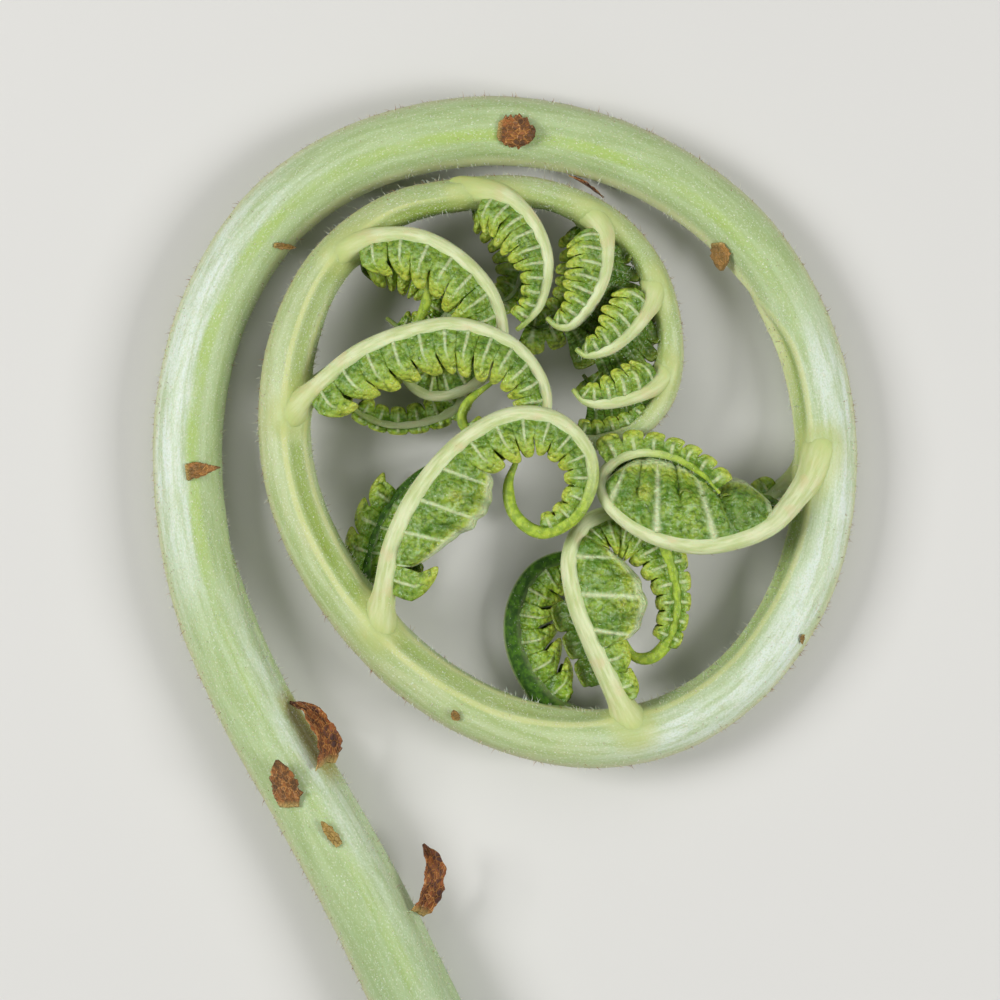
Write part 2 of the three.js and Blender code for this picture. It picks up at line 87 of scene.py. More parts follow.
# point on a line, and the ways along it, in to the coil and up
def lineFrame(line, distance):
    near = 0.2  # how far to either side the line is looked at
    distance = min(line["length"], max(line["marks"][0], distance))
    ahead = lineValue(line, "spots", distance + near) - lineValue(line, "spots", distance - near)
    along = ahead.normalized()
    inward = Vector((along.y, -along.x, 0)).normalized()
    return lineValue(line, "spots", distance), along, inward, inward.cross(along)


# grid of faces whose corners are set by place(corner, across, along), both from 0 to 1
def bendGrid(bm, columns, rows, place):
    corners = bmesh.ops.create_grid(bm, x_segments=columns, y_segments=rows, size=1.0)["verts"]
    for corner in corners:
        place(corner, (corner.co.x + 1) / 2, (corner.co.y + 1) / 2)


# mesh in mm to a piece of the frond in the frame
def finishPiece(bm, name, materials, nodes=()):
    mesh = bpy.data.meshes.new(name)
    bm.to_mesh(mesh)
    bm.free()
    mesh.transform(Matrix.Scale(mm, 4))
    for face in mesh.polygons:
        face.use_smooth = True
    for material in materials:
        mesh.materials.append(material)
    piece = bpy.data.objects.new(name, mesh)
    bpy.context.scene.collection.objects.link(piece)
    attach(piece, "root")
    if nodes:
        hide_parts(*nodes)
    return piece


# sheet to a thin wall
def thicken(piece, thickness):
    wall = piece.modifiers.new("thickness", "SOLIDIFY")
    wall.thickness = thickness * mm
    wall.offset = 0.0


# value or link into a shader socket
def feed(tree, socket, value):
    if isinstance(value, bpy.types.NodeSocket):
        tree.links.new(value, socket)
    else:
        socket.default_value = value


def addNode(tree, kind, sockets=None, **settings):
    node = tree.nodes.new("ShaderNode" + kind)
    for key, value in settings.items():
        setattr(node, key, value)
    for key, value in (sockets or {}).items():
        feed(tree, node.inputs[key], value)
    return node


def startMaterial(name, **constants):
    material = bpy.data.materials.new(name)
    material.use_nodes = True
    shader = material.node_tree.nodes["Principled BSDF"]
    for key, value in constants.items():
        shader.inputs[key.replace("_", " ")].default_value = value
    return material, material.node_tree, shader


def calc(tree, operation, first, second=0.0, third=0.0):
    return addNode(tree, "Math", {0: first, 1: second, 2: third}, operation=operation).outputs[0]


def times(tree, first, *others):
    for other in others:
        first = calc(tree, "MULTIPLY", first, other)
    return first


def remap(tree, value, fromLow, fromHigh, toLow=0.0, toHigh=1.0):
    sockets = {"Value": value, "From Min": fromLow, "From Max": fromHigh, "To Min": toLow, "To Max": toHigh}
    return addNode(tree, "MapRange", sockets, interpolation_type="SMOOTHSTEP").outputs["Result"]


# 1 near a value, fading to 0 at a distance from it
def bandMask(tree, value, centre, width):
    apart = calc(tree, "ABSOLUTE", calc(tree, "SUBTRACT", value, centre))
    return remap(tree, apart, width * 0.35, width, 1.0, 0.0)


# 1 between two values, fading to 0 beyond them
def stretchMask(tree, value, low, high, fade):
    return times(tree, remap(tree, value, low - fade, low), remap(tree, value, high, high + fade, 1.0, 0.0))


def mixColour(tree, factor, under, over):
    node = addNode(tree, "Mix", data_type="RGBA")
    sockets = {socket.identifier: socket for socket in node.inputs}
    for name, value in (("Factor_Float", factor), ("A_Color", under), ("B_Color", over)):
        feed(tree, sockets[name], value)
    return next(socket for socket in node.outputs if socket.identifier == "Result_Color")


# coats of colour over a tone, each with its mask
def addCoats(tree, tone, coats):
    for mask, colour in coats:
        tone = mixColour(tree, mask, tone, colour)
    return tone


def stretched(tree, vector, x, y, z):
    return addNode(tree, "VectorMath", {0: vector, 1: (x, y, z)}, operation="MULTIPLY").outputs[0]


def grain(tree, vector, scale, detail=3.0, roughness=0.55):
    sockets = {"Vector": vector, "Scale": scale, "Detail": detail, "Roughness": roughness}
    return addNode(tree, "TexNoise", sockets).outputs["Fac"]


def dots(tree, vector, scale, feature="F1"):
    sockets = {"Vector": vector, "Scale": scale}
    return addNode(tree, "TexVoronoi", sockets, feature=feature).outputs["Distance"]


def readLayer(tree, name, output="Fac"):
    return addNode(tree, "Attribute", attribute_name=name).outputs[output]


def addBump(tree, shader, height, strength, depth):
    sockets = {"Height": height, "Strength": strength, "Distance": depth * mm}
    tree.links.new(addNode(tree, "Bump", sockets).outputs["Normal"], shader.inputs["Normal"])


def paint(tree, shader, tone, roughness):
    tree.links.new(tone, shader.inputs["Base Color"])
    tree.links.new(roughness, shader.inputs["Roughness"])


def rgb(red, green, blue):  # colour as seen on screen, 0 to 255
    return tuple(((value / 255 + 0.055) / 1.055) ** 2.4 for value in (red, green, blue)) + (1.0,)


def dimmed(colour, share):
    return tuple(value * share for value in colour[:3]) + (1.0,)


# Stalk: plan and radius from the cut end to the tip, in mm
stalkLook = {
    "points": [
        (-3.3, -31.1, 2.62), (-5.8, -25.8, 2.56), (-8.9, -19.5, 2.5), (-12.4, -13.2, 2.44),
        (-16.0, -7.0, 2.31), (-18.6, -0.8, 2.25), (-19.9, 5.5, 2.12), (-19.8, 11.8, 2.12),
        (-18.1, 18.0, 2.12), (-14.2, 23.8, 2.12), (-8.1, 27.5, 2.12), (-0.3, 28.8, 2.12),
        (7.8, 27.1, 2.0), (14.6, 22.6, 1.94), (18.8, 16.1, 1.88), (20.3, 8.6, 1.88),
        (19.2, 1.1, 1.88), (15.8, -4.8, 1.81), (10.9, -8.4, 1.81), (5.3, -9.5, 1.78),
        (-0.6, -8.2, 1.75), (-5.9, -5.0, 1.75), (-10.2, -0.2, 1.69), (-12.9, 5.0, 1.62),
        (-13.8, 10.2, 1.59), (-13.2, 15.5, 1.5), (-11.1, 20.1, 1.31), (-7.3, 23.4, 1.12),
        (-2.8, 24.6, 1.0), (1.9, 24.7, 0.94), (6.2, 23.1, 0.88), (9.1, 20.0, 0.81),
        (10.3, 16.1, 0.78), (10.1, 12.5, 0.72), (8.4, 10.1, 0.66), (5.9, 9.2, 0.56),
        (3.8, 9.4, 0.44),
    ],
    "perSpan": 30,  # samples between two points
    "press": 0.12,  # flattened where it lies
    "innerHeight": 3.9, "riseFrom": 112, "riseOver": 38,
    "sides": 64, "step": 0.36,
    "full": 1.015,  # share of the radius on the plain round
    "groove": 12,  # half width in degrees
    "grooveRun": [  # distance, the groove's angle from the inner side, its depth as a share, and its olive tint, partly painted shade
        (0, 20, 0.09, 0.15), (32, 18, 0.09, 0.2), (42, -24, 0.1, 0.3), (92, -24, 0.1, 0.4),
        (101, 33, 0.13, 0.9), (111, 32, 0.12, 0.8), (120, 22, 0.09, 0.4), (130, 24, 0.06, 0.15),
        (142, 52, 0.06, 0.5), (153, 64, 0.065, 0.9), (178, 62, 0.06, 0.8), (192, 32, 0.05, 0.6),
        (215, 30, 0.04, 0.5),
    ],
    "oliveEdge": (21, 8),  # degrees from the groove where its olive tint, partly painted shade, starts and is full
    "ridges": ((-27, 10, 0.25), (27, 10, 0.3)),  # beside the groove, as shares of its depth
    "sideLine": (79, 4, 0.012),  # low raised line along the side
    "flats": (0.012, 2.5),  # soft facets and how many lie round it
    "uneven": (0.022, 0.9, 1.4),  # height, and how fine it is level and upright
    "troughStart": (166, 182), "troughEnd": (212, 203),  # olive inner side near the tip, partly painted shade in the trough, by distance
    "troughTop": (98, 52), "troughBack": (-150, -100),  # and by angle
    "rootGlow": (0.75, 1.35),  # strength and reach of the yellow tint at the roots of midribs
    "rootSide": (50, -0.2, 0.5),  # the side that roots stand on
    "cutFace": [(0.0, 0.0), (0.05, 0.25), (0.07, 0.5), (0.06, 0.72), (0.03, 0.9), (0.0, 0.975), (0.06, 1.0)],
    "cutDepth": 0.075,
}

# Leaflets: path of the midrib in mm, its radius at root and tail, where the blade starts, lobes and width.
# The heel lies inside the stalk. "fill" is the share of the width at the root, and the midrib turns lime
# over the "tail", given as shares of its length. "bareFrom" and "tailBare" end the blade early.
# "first" are lobes at the root as (start, pitch, reach, lean), "beads" are lobes on the outer side as
# (from, to, size, lean) and "backing" are lobes behind the midrib, dark with painted shade, as (reach, up to
# which share, shade).
# An "apron" is a broad uncut part. Its edge is given as (distance along the midrib, x, y, z), ripples run
# round its "eye", "after" counts the lobes after it, a fold is (distance, from, to), a tuck is (up to, depth)
nearLeaflets = [
    {"heel": [(21.0, 10.9, 1.7)],
     "path": [(19.9, 8.8, 2.9), (18.7, 6.4, 3.8), (16.7, 4.1, 4.9), (14.2, 3.0, 5.8), (11.6, 2.7, 6.3),
              (8.8, 3.4, 6.4), (6.7, 4.9, 6.1), (6.0, 6.5, 5.6), (6.8, 7.9, 5.2), (8.6, 8.5, 5.1),
              (10.7, 8.1, 5.4), (12.4, 7.0, 5.9), (13.3, 5.9, 5.9)],
     "radius": (0.75, 0.2), "start": 4.6, "lobes": 13, "width": 4.4, "fill": 0.5, "tail": (0.74, 0.92),
     "apron": {
         "edge": [(6.0, 16.5, 5.4, 4.9), (6.7, 15.1, 6.5, 5.0), (7.6, 13.9, 6.95, 5.0),
                  (8.6, 13.1, 6.6, 4.8), (9.6, 12.3, 7.1, 4.8), (11.0, 11.2, 7.7, 4.8),
                  (13.0, 10.1, 8.1, 4.9), (15.0, 9.0, 8.2, 5.0), (16.6, 8.2, 8.0, 5.2),
                  (18.0, 7.4, 7.6, 5.3), (19.2, 6.8, 7.1, 5.3)],
         "veins": (10.3, 14.1, 17.7), "veinWidth": 0.24, "dome": 0.75, "eye": (8.5, 6.0), "after": 8,
         "inside": False, "folds": [(12.2, 0.3, 0.62), (15.9, 0.2, 0.5)], "tuck": (9.1, 0.5)},
     "beads": (0.68, 1.0, 1.0, 0.15), "tailBare": 0.012},
    {"heel": [(8.9, -10.0, 2.5)],
     "path": [(8.1, -8.8, 3.7), (6.7, -6.0, 4.4), (5.4, -3.2, 4.9), (4.4, -0.6, 5.0), (4.1, 2.0, 4.7),
              (5.1, 4.0, 4.2), (7.2, 4.6, 3.9), (9.3, 3.6, 3.8), (10.4, 1.4, 3.7), (10.8, -1.0, 3.6),
              (10.4, -3.0, 3.5), (9.3, -4.3, 3.5), (8.1, -4.3, 3.5), (7.4, -3.2, 3.5)],
     "radius": (0.72, 0.36), "start": 3.4, "lobes": 17, "width": 3.9, "fill": 0.35, "tail": (0.45, 0.62),
     "first": [(1.9, 1.9, 1.35, 0.4), (3.8, 2.0, 1.95, 0.5)], "backing": (1.9, 0.3, 0.3),
     "apron": {
         "edge": [(5.6, 6.5, -3.4, 4.9), (6.3, 7.4, -3.2, 4.9), (7.2, 8.1, -2.7, 5.0),
                  (8.1, 8.55, -1.9, 5.0), (9.0, 8.75, -0.9, 5.0), (9.8, 8.55, 0.1, 5.0),
                  (10.7, 8.0, 1.0, 4.9), (11.7, 7.2, 1.8, 4.8), (12.6, 6.4, 2.4, 4.6),
                  (13.4, 5.8, 2.9, 4.5)],
         "veins": (6.9, 9.3, 11.8), "veinWidth": 0.15, "dome": 0.6, "eye": (7.2, -0.8), "after": 12,
         "folds": [(8.1, 0.3, 0.7), (10.6, 0.3, 0.7)]},
     "beads": (0.6, 1.0, 0.5), "bareFrom": 0.87},
    {"heel": [(-8.1, -4.4, 3.9)],
     "path": [(-7.8, -2.5, 4.9), (-7.4, 0.2, 5.8), (-6.9, 2.7, 6.4), (-5.8, 5.2, 6.9), (-4.2, 7.5, 7.1),
              (-2.2, 9.4, 7.2), (0.4, 10.7, 7.2), (3.0, 10.5, 7.2), (4.9, 8.8, 7.0), (5.3, 6.6, 6.8),
              (4.2, 4.4, 6.6), (2.2, 3.5, 6.3), (0.6, 4.6, 6.0), (0.2, 6.4, 5.8), (0.7, 7.9, 5.6)],
     "radius": (0.68, 0.34), "start": 2.6, "lobes": 22, "width": 2.9, "tail": (0.6, 0.78),
     "first": [(2.5, 1.9, 3.2, 1.1)],
     "apron": {
         "edge": [(4.3, -5.7, 1.4, 6.4), (5.2, -4.7, 1.95, 6.6), (6.2, -3.9, 2.6, 6.7),
                  (7.0, -3.1, 3.2, 6.8), (7.8, -2.4, 3.6, 6.9), (8.7, -1.75, 4.1, 6.9),
                  (9.6, -1.2, 4.8, 6.9), (10.5, -0.9, 5.6, 6.9), (11.4, -0.8, 6.4, 6.9),
                  (12.2, -0.95, 7.1, 6.9), (13.0, -1.3, 7.7, 6.9)],
         "veins": (6.6, 8.9, 11.3), "veinWidth": 0.1, "dome": 0.5, "eye": (-3.1, 5.7), "after": 13,
         "folds": [(7.7, 0.3, 0.7), (10.1, 0.3, 0.7)]},
     "bareFrom": 0.83},
    {"heel": [(-14.7, 9.2, 4.0)],
     "path": [(-13.4, 10.7, 4.9), (-11.2, 12.9, 5.7), (-8.9, 14.7, 6.2), (-5.9, 15.9, 6.5),
              (-2.8, 16.3, 6.6), (0.3, 15.2, 6.5), (2.1, 13.2, 6.0), (2.5, 11.1, 5.5), (1.4, 9.4, 5.1),
              (-0.9, 9.0, 4.9), (-2.6, 10.2, 4.9), (-2.3, 11.6, 5.0), (-0.8, 12.8, 5.1)],
     "radius": (0.58, 0.27), "start": 1.7, "lobes": 20, "width": 3.1, "bareFrom": 0.86,
     "tail": (0.7, 0.85)},
    {"heel": [(-12.0, 19.6, 3.9)],
     "path": [(-10.4, 20.8, 4.6), (-7.9, 21.8, 5.4), (-5.3, 21.8, 5.7), (-2.8, 20.5, 5.6),
              (-0.9, 18.4, 5.2), (-0.2, 15.9, 4.5), (-0.8, 13.8, 4.0), (-2.7, 12.4, 3.8),
              (-4.7, 12.1, 3.7), (-6.1, 13.1, 3.7), (-6.2, 14.9, 3.9), (-5.3, 16.7, 4.5),
              (-4.8, 18.3, 5.2), (-4.7, 19.9, 5.7)],
     "radius": (0.52, 0.3), "start": 1.5, "lobes": 20, "width": 3.0, "bareFrom": 0.86,
     "tail": (0.68, 0.82)},
    {"heel": [(-4.3, 24.3, 3.5)],
     "path": [(-2.6, 24.8, 4.2), (-0.2, 24.4, 5.0), (1.6, 22.9, 5.5), (2.6, 20.4, 5.5), (2.2, 17.9, 5.0),
              (1.2, 16.5, 4.6), (0.7, 16.1, 4.4)],
     "radius": (0.54, 0.3), "start": 1.5, "lobes": 10, "width": 2.7},
    {"heel": [(4.2, 23.9, 3.5)],
     "path": [(5.3, 23.4, 4.2), (6.2, 21.9, 5.0), (6.2, 19.8, 5.4), (5.4, 17.8, 5.2), (4.1, 16.4, 4.8),
              (3.2, 16.4, 4.5), (2.6, 16.9, 4.3)],
     "radius": (0.5, 0.32), "start": 1.3, "lobes": 9, "width": 2.5, "backing": (3.2, 0.8, 0.5)},
    {"heel": [(8.9, 20.2, 3.4)],
     "path": [(9.4, 19.0, 4.1), (8.5, 16.8, 5.1), (6.8, 15.1, 5.4), (5.2, 14.5, 5.2), (4.4, 14.9, 5.0)],
     "radius": (0.52, 0.32), "start": 1.2, "lobes": 7, "width": 2.3, "backing": (2.9, 0.8, 0.5)},
    {"heel": [(10.3, 15.3, 3.4)],
     "path": [(10.2, 13.8, 4.0), (8.8, 12.3, 4.9), (6.8, 11.6, 5.2), (5.1, 11.6, 5.0), (4.2, 12.4, 4.9)],
     "radius": (0.47, 0.32), "start": 1.1, "lobes": 6, "width": 2.1, "backing": (2.2, 0.8, 0.5)},
]
# in the far row "dark" is painted shade on the midrib's back and at its lobes' roots, "shade" painted shade
# on the blade
farLeaflets = [
    {"path": [(19.8, 8.5, 1.2), (18.4, 7.0, 1.0), (16.4, 5.6, 1.1), (14.1, 4.8, 1.3), (11.9, 5.1, 1.6),
              (10.4, 6.2, 1.8), (10.6, 7.5, 1.9)],
     "radius": (0.6, 0.24), "start": 3.4, "lobes": 6, "width": 2.0, "fill": 0.1, "dark": 0.5, "shade": 0.4},
    {"path": [(5.3, -9.1, 2.0), (2.6, -7.2, 1.6), (0.85, -4.4, 1.5), (0.6, -1.5, 1.5), (1.9, 1.0, 1.5),
              (4.2, 1.8, 1.5), (5.9, 0.3, 1.6), (5.9, -1.9, 1.7), (4.4, -3.2, 1.8)],
     "radius": (0.78, 0.3), "start": 2.2, "lobes": 10, "width": 2.9, "dark": 1.0, "grid": "fine",
     "lean": 0.62, "slit": 0.26},
    {"path": [(-8.2, -2.0, 3.2), (-8.7, 0.4, 2.6), (-8.3, 3.0, 2.1), (-7.1, 5.4, 1.8), (-5.1, 7.3, 1.6),
              (-2.9, 7.8, 1.6), (-1.7, 6.6, 1.7), (-2.2, 4.9, 1.8), (-3.6, 4.2, 1.9)],
     "radius": (0.36, 0.22), "start": 1.6, "lobes": 10, "width": 2.3, "dark": 1.0,
     "beads": (0.0, 0.4, 0.7, 0.7), "shade": 0.3, "grid": "fine"},
    {"path": [(-13.2, 11.0, 3.2), (-10.9, 13.5, 2.5), (-7.7, 15.2, 2.0), (-4.4, 15.0, 1.7),
              (-2.4, 13.2, 1.6), (-3.1, 11.3, 1.6), (-5.0, 10.4, 1.7), (-7.2, 10.2, 1.8),
              (-9.1, 10.9, 1.9), (-10.4, 12.1, 2.2)],
     "radius": (0.55, 0.36), "start": 2.8, "lobes": 13, "width": 2.4, "dark": 0.25,
     "beads": (0.4, 1.0, 0.3)},
    {"path": [(-10.9, 20.0, 3.2), (-8.9, 21.0, 2.6), (-6.6, 21.1, 2.1), (-4.4, 20.0, 1.8),
              (-3.5, 18.1, 1.7), (-4.4, 16.5, 1.7), (-6.2, 16.2, 1.8), (-7.5, 17.0, 1.9)],
     "radius": (0.48, 0.24), "start": 2.0, "lobes": 10, "width": 2.4, "dark": 0.55,
     "beads": (0.3, 1.0, 0.5), "shade": 0.3},
    {"path": [(-3.3, 24.7, 3.6), (-1.1, 24.2, 3.0), (0.5, 22.6, 2.5), (1.1, 20.4, 2.2), (0.5, 18.5, 2.1),
              (-0.9, 17.9, 2.1), (-1.9, 18.8, 2.2)],
     "radius": (0.42, 0.22), "start": 1.6, "lobes": 8, "width": 2.0, "dark": 0.6,
     "beads": (0.1, 1.0, 0.7), "shade": 0.35},
    {"path": [(4.4, 24.1, 3.6), (5.2, 22.4, 3.0), (5.3, 20.4, 2.5), (4.7, 18.4, 2.3), (3.4, 17.0, 2.2),
              (2.1, 16.4, 2.2), (1.2, 16.7, 2.2)],
     "radius": (0.42, 0.24), "start": 1.5, "lobes": 8, "width": 1.9, "dark": 0.8, "beads": (0.1, 1.0, 1.5),
     "shade": 0.3, "grid": "fine", "tailBare": 0.02},
    {"path": [(9.1, 19.2, 3.6), (8.1, 17.5, 3.0), (6.6, 16.4, 2.6), (5.1, 16.1, 2.4)],
     "radius": (0.38, 0.24), "start": 1.4, "lobes": 5, "width": 1.7, "dark": 0.7,
     "beads": (0.1, 1.0, 1.5), "shade": 0.3},
    {"path": [(10.1, 14.2, 3.7), (8.8, 13.0, 3.1), (6.9, 12.5, 2.7), (5.6, 12.6, 2.6), (4.9, 13.4, 2.6)],
     "radius": (0.34, 0.24), "start": 1.3, "lobes": 4, "width": 1.7, "dark": 0.7,
     "beads": (0.1, 1.0, 0.8), "shade": 0.35},
]
ribLook = {
    "perSpan": 24, "sides": 20, "step": 0.26,
    "flare": (0.3, 1.6),  # extra radius at the root, and the distance it fades over
    "taper": (2.4, 0.5),  # length of the thinner tail, and how much of the radius it loses
    "fillet": 1.1,  # how far stalk and midrib run together, in mm
    "filletEnd": (5.0, 3.0),  # distance from the root where it is over, and where it starts to fade
    "sunk": (1.3, 0.6),  # the root thins over this length inside the stalk, by this share
    "rootGlow": (0.9, 0.5, 4.5),  # yellow tint: reach from the stalk, strength further out, and its reach
    "lime": (0.75, 1.1),  # shares of the length over which a plain midrib turns lime
    "keel": 0.05,
}
roundedEnd = ((0.3, 0.94), (0.1, 0.72), (0.0, 0.4), (0.0, 0.0))  # as shares of the last girth


# stalk line in the frame, lying flat outside and lifted inside
def makeStalkLine(look):
    samples = throughPoints(look["points"], look["perSpan"])
    marks = lengthMarks([sample.xy for sample in samples])
    line = {"marks": marks, "length": marks[-1], "girth": [sample.z for sample in samples], "spots": []}
    for sample, mark in zip(samples, marks):
        low = sample.z - look["press"]
        rise = easeIn(mark, look["riseFrom"], look["riseFrom"] + look["riseOver"])
        height = low + (look["innerHeight"] - low) * rise
        line["spots"].append(Vector((sample.x, sample.y, height)) + middle)
    return line


# midrib line, its distances counted from the end of its heel
def makeRibLine(leaflet):
    heel = leaflet.get("heel", [])
    spots = [spot + middle for spot in throughPoints(heel + leaflet["path"], ribLook["perSpan"])]
    marks = lengthMarks(spots)
    heelEnd = marks[ribLook["perSpan"] * len(heel)]
    marks = [mark - heelEnd for mark in marks]
    root, tail = leaflet["radius"]
    length = marks[-1]
    flare, fade = ribLook["flare"]
    finish, thin = ribLook["taper"]
    girth = []
    for mark in marks:
        past = max(0.0, mark)
        plain = root + (tail - root) * past / length + flare * root * math.exp(-past / fade)
        girth.append(plain * (1 - thin * easeIn(mark, length - finish, length)))
    return {"marks": marks, "length": length, "girth": girth, "spots": spots}


stalkLine = makeStalkLine(stalkLook)
nearLines = [makeRibLine(leaflet) for leaflet in nearLeaflets]
farLines = [makeRibLine(leaflet) for leaflet in farLeaflets]


# gap from a point to the skin of the nearest of a set of lines
def makeFinder(lines, upTo=math.inf):
    found = []
    for line in lines:
        rows = zip(line["spots"], line["girth"], line["marks"])
        found += [(spot, girth) for spot, girth, mark in rows if 0 <= mark <= upTo]
    tree = kdtree.KDTree(len(found))
    for place, (spot, _) in enumerate(found):
        tree.insert(spot, place)
    tree.balance()

    def gapTo(spot):
        _, place, apart = tree.find(spot)
        return apart - found[place][1]
    return gapTo


gapToRoots = makeFinder(nearLines + farLines, ribLook["filletEnd"][0])
gapToStalk = makeFinder([stalkLine])
gapInPlan = makeFinder([dict(stalkLine, spots=[spot * inPlan for spot in stalkLine["spots"]])])


# how far two skins swell where they run together
def fillet(gap):
    reach = ribLook["fillet"]
    near = max(0.0, 1 - max(0.0, gap) / reach)
    return near * near * reach / 4


# angle, depth and tint of the groove at a distance from the cut end
def grooveAt(distance):
    steps = stalkLook["grooveRun"]
    found = Vector(steps[0][1:])
    for before, after in zip(steps, steps[1:]):
        if distance > before[0]:
            share = easeIn(distance, before[0], after[0])
            found = Vector(before[1:]).lerp(Vector(after[1:]), share)
    return found


# share of the stalk's radius at an angle from its inner side
def stalkRound(turn, distance):
    grooveTurn, depth, _ = grooveAt(distance)
    fromGroove = turn - grooveTurn
    share = stalkLook["full"] - depth * hill(fromGroove, 0, stalkLook["groove"])
    for top, width, height in stalkLook["ridges"]:
        share += height * depth * hill(fromGroove, top, width)
    top, width, height = stalkLook["sideLine"]
    share += height * hill(turn, top, width)
    depth, count = stalkLook["flats"]
    return share + depth * math.cos(math.radians(turn - 180) * count)


def ribRound(turn, distance):
    return 1 + ribLook["keel"] * math.cos(math.radians(2 * turn))


# skin round a line: stations are (distance, share of the girth)
def sweepSkin(bm, line, stations, sides, roundShare, swell):
    rod = bm.verts.layers.float_vector["rod"]
    frames = [lineFrame(line, distance) for distance, _ in stations]
    girths = [lineValue(line, "girth", distance) for distance, _ in stations]

    def place(corner, across, along):
        row = round(along * (len(stations) - 1))
        distance, share = stations[row]
        spot, _, inward, up = frames[row]
        turn = 360 * across - 180
        angle = math.radians(turn)
        outward = inward * math.cos(angle) + up * math.sin(angle)
        radius = girths[row] * roundShare(turn, distance)
        extra, tints = swell(spot + outward * radius, turn, distance)
        corner.co = spot + outward * ((radius + extra) * share)
        corner.co.z = max(0.0, corner.co.z)
        radius *= share
        corner[rod] = Vector((distance, radius * math.cos(angle), radius * math.sin(angle)))
        for layer, tint in tints.items():
            corner[bm.verts.layers.float[layer]] = tint

    bendGrid(bm, sides, len(stations) - 1, place)


# rows of a skin: a closed start, even steps, and a rounded end
def skinStations(line, step, start):
    first, end = line["marks"][0], line["length"]
    count = math.ceil((end - first) / step)
    even = [(first + (end - first) * row / count, 1.0) for row in range(1, count)]
    tail = line["girth"][-1]
    return start + even + [(end - tail * before, share) for before, share in roundedEnd]


def stalkSwell(spot, turn, distance):
    look = stalkLook
    gap = gapToRoots(spot)
    height, level, upright = look["uneven"]
    rough = noise.noise(Vector((spot.x * level, spot.y * level, spot.z * upright)))
    grooveTurn, _, tint = grooveAt(distance)
    fromGroove = min(60.0, abs(turn - grooveTurn))
    side, sideEdge, sideFull = look["rootSide"]
    facing = easeIn(math.cos(math.radians(turn - side)), sideEdge, sideFull)
    # the trough's olive is partly painted shade
    trough = easeIn(turn, *look["troughTop"]) * easeIn(turn, *look["troughBack"])
    trough *= easeIn(distance, *look["troughStart"]) * easeIn(distance, *look["troughEnd"])
    glow, glowReach = look["rootGlow"]
    tints = {"root": glow * easeIn(gap, glowReach, 0.0) * facing * (1 - 0.45 * trough), "groove": fromGroove,
             "olive": max(tint * easeIn(fromGroove, *look["oliveEdge"]), 0.9 * trough), "trough": trough}
    return fillet(gap) * facing + height * rough, tints


def ribSwell(leaflet, line):
    heel = line["marks"][0]
    sunkOver, sunkShare = ribLook["sunk"]
    glowReach, glow, glowEnd = ribLook["rootGlow"]

    def swell(spot, turn, distance):
        gap = gapToStalk(spot)
        joint = fillet(gap) * easeIn(distance, *ribLook["filletEnd"]) * easeIn(gap, -0.4, 0.1)
        sunk = (easeIn(distance, heel, heel + sunkOver) - 1) * sunkShare * leaflet["radius"][0]
        across = math.cos(math.radians(turn))
        dark = 1 - 0.3 * easeIn(across, 0.2, 1.0) - 0.5 * easeIn(across, -0.86, -1.0)  # painted shade, paler at both sides for a painted rim highlight
        tints = {"root": max(easeIn(gap, glowReach, 0.0), glow * easeIn(distance, glowEnd, 1.0)),
                 "dark": leaflet.get("dark", 0.0) * dark,
                 "tail": easeIn(distance / line["length"], *leaflet.get("tail", ribLook["lime"]))}
        return joint + sunk, tints
    return swell


def makeStalk(materials):
    bm = bmesh.new()
    rod = bm.verts.layers.float_vector.new("rod")
    for layer in ("root", "groove", "olive", "trough", "dark", "tail"):
        bm.verts.layers.float.new(layer)
    stations = skinStations(stalkLine, stalkLook["step"], stalkLook["cutFace"])
    sweepSkin(bm, stalkLine, stations, stalkLook["sides"], stalkRound, stalkSwell)
    for face in bm.faces:
        if max(corner[rod].x for corner in face.verts) < stalkLook["cutDepth"]:
            face.material_index = 2
    for leaflet, line in zip(nearLeaflets + farLeaflets, nearLines + farLines):
        before = set(bm.faces)
        heel = line["marks"][0]
        stations = skinStations(line, ribLook["step"], [(heel, 0.0), (heel, 0.5), (heel, 1.0)])
        sweepSkin(bm, line, stations, ribLook["sides"], ribRound, ribSwell(leaflet, line))
        for face in set(bm.faces) - before:
            face.material_index = 1
    bmesh.ops.remove_doubles(bm, verts=bm.verts, dist=1e-4)
    bmesh.ops.recalc_face_normals(bm, faces=bm.faces)
    return finishPiece(bm, "stalk_and_midribs", materials, ["stalk"])


# Blades: folded sheets on the inner side of each midrib, cut into lobes
bladeLook = {
    "gap": 0.5, "fold": 0.44,  # from the midrib's skin to where the fold is full, and its half height
    "seat": (0.55, 0.8),  # where a lobe sits in the midrib: share of its radius, and of that upwards
    "underWidth": 0.68, "tailWidth": 1.15, "least": 0.75, "fill": 0.75, "tailBare": 0.055, "pitchFall": 0.96,
    "curl": (0.7, 0.8),  # how far to either side the curl is looked at, and the share of it that is filled
    "openUp": {"near": 16, "far": 9, "tip": 2}, "openDown": {"near": 6, "far": 6, "tip": 9},
    "web": 0.4,  # share of a lobe's rows below the cut
    "sinus": 0.5, "slit": 0.13, "round": 3.3,  # where the cut ends, its width, the form of the lobe's tip
    "lean": 0.3, "tipDrop": 0.26, "edgeDrop": 0.24, "ridge": 0.09,
    "wild": (5, 0.08, 0.06, 0.06),  # how far slope, length, droop and cut of a lobe vary
    "backing": {"drop": 26, "cut": 0.7, "from": 0.8, "step": 0.1, "least": 0.95, "under": 0.55},
    # the broad uncut parts
    "puff": 0.45, "roll": 0.16, "rimDrop": 0.45, "ripple": 0.08, "foldDepth": 0.3, "scallop": 0.06,
    "crinkle": ((0.62, 0.14), (0.3, 0.08)),  # size and height in mm
    "thick": 0.16,
    "fine": (14, 20), "plain": (8, 11), "broad": (84, 32),
}


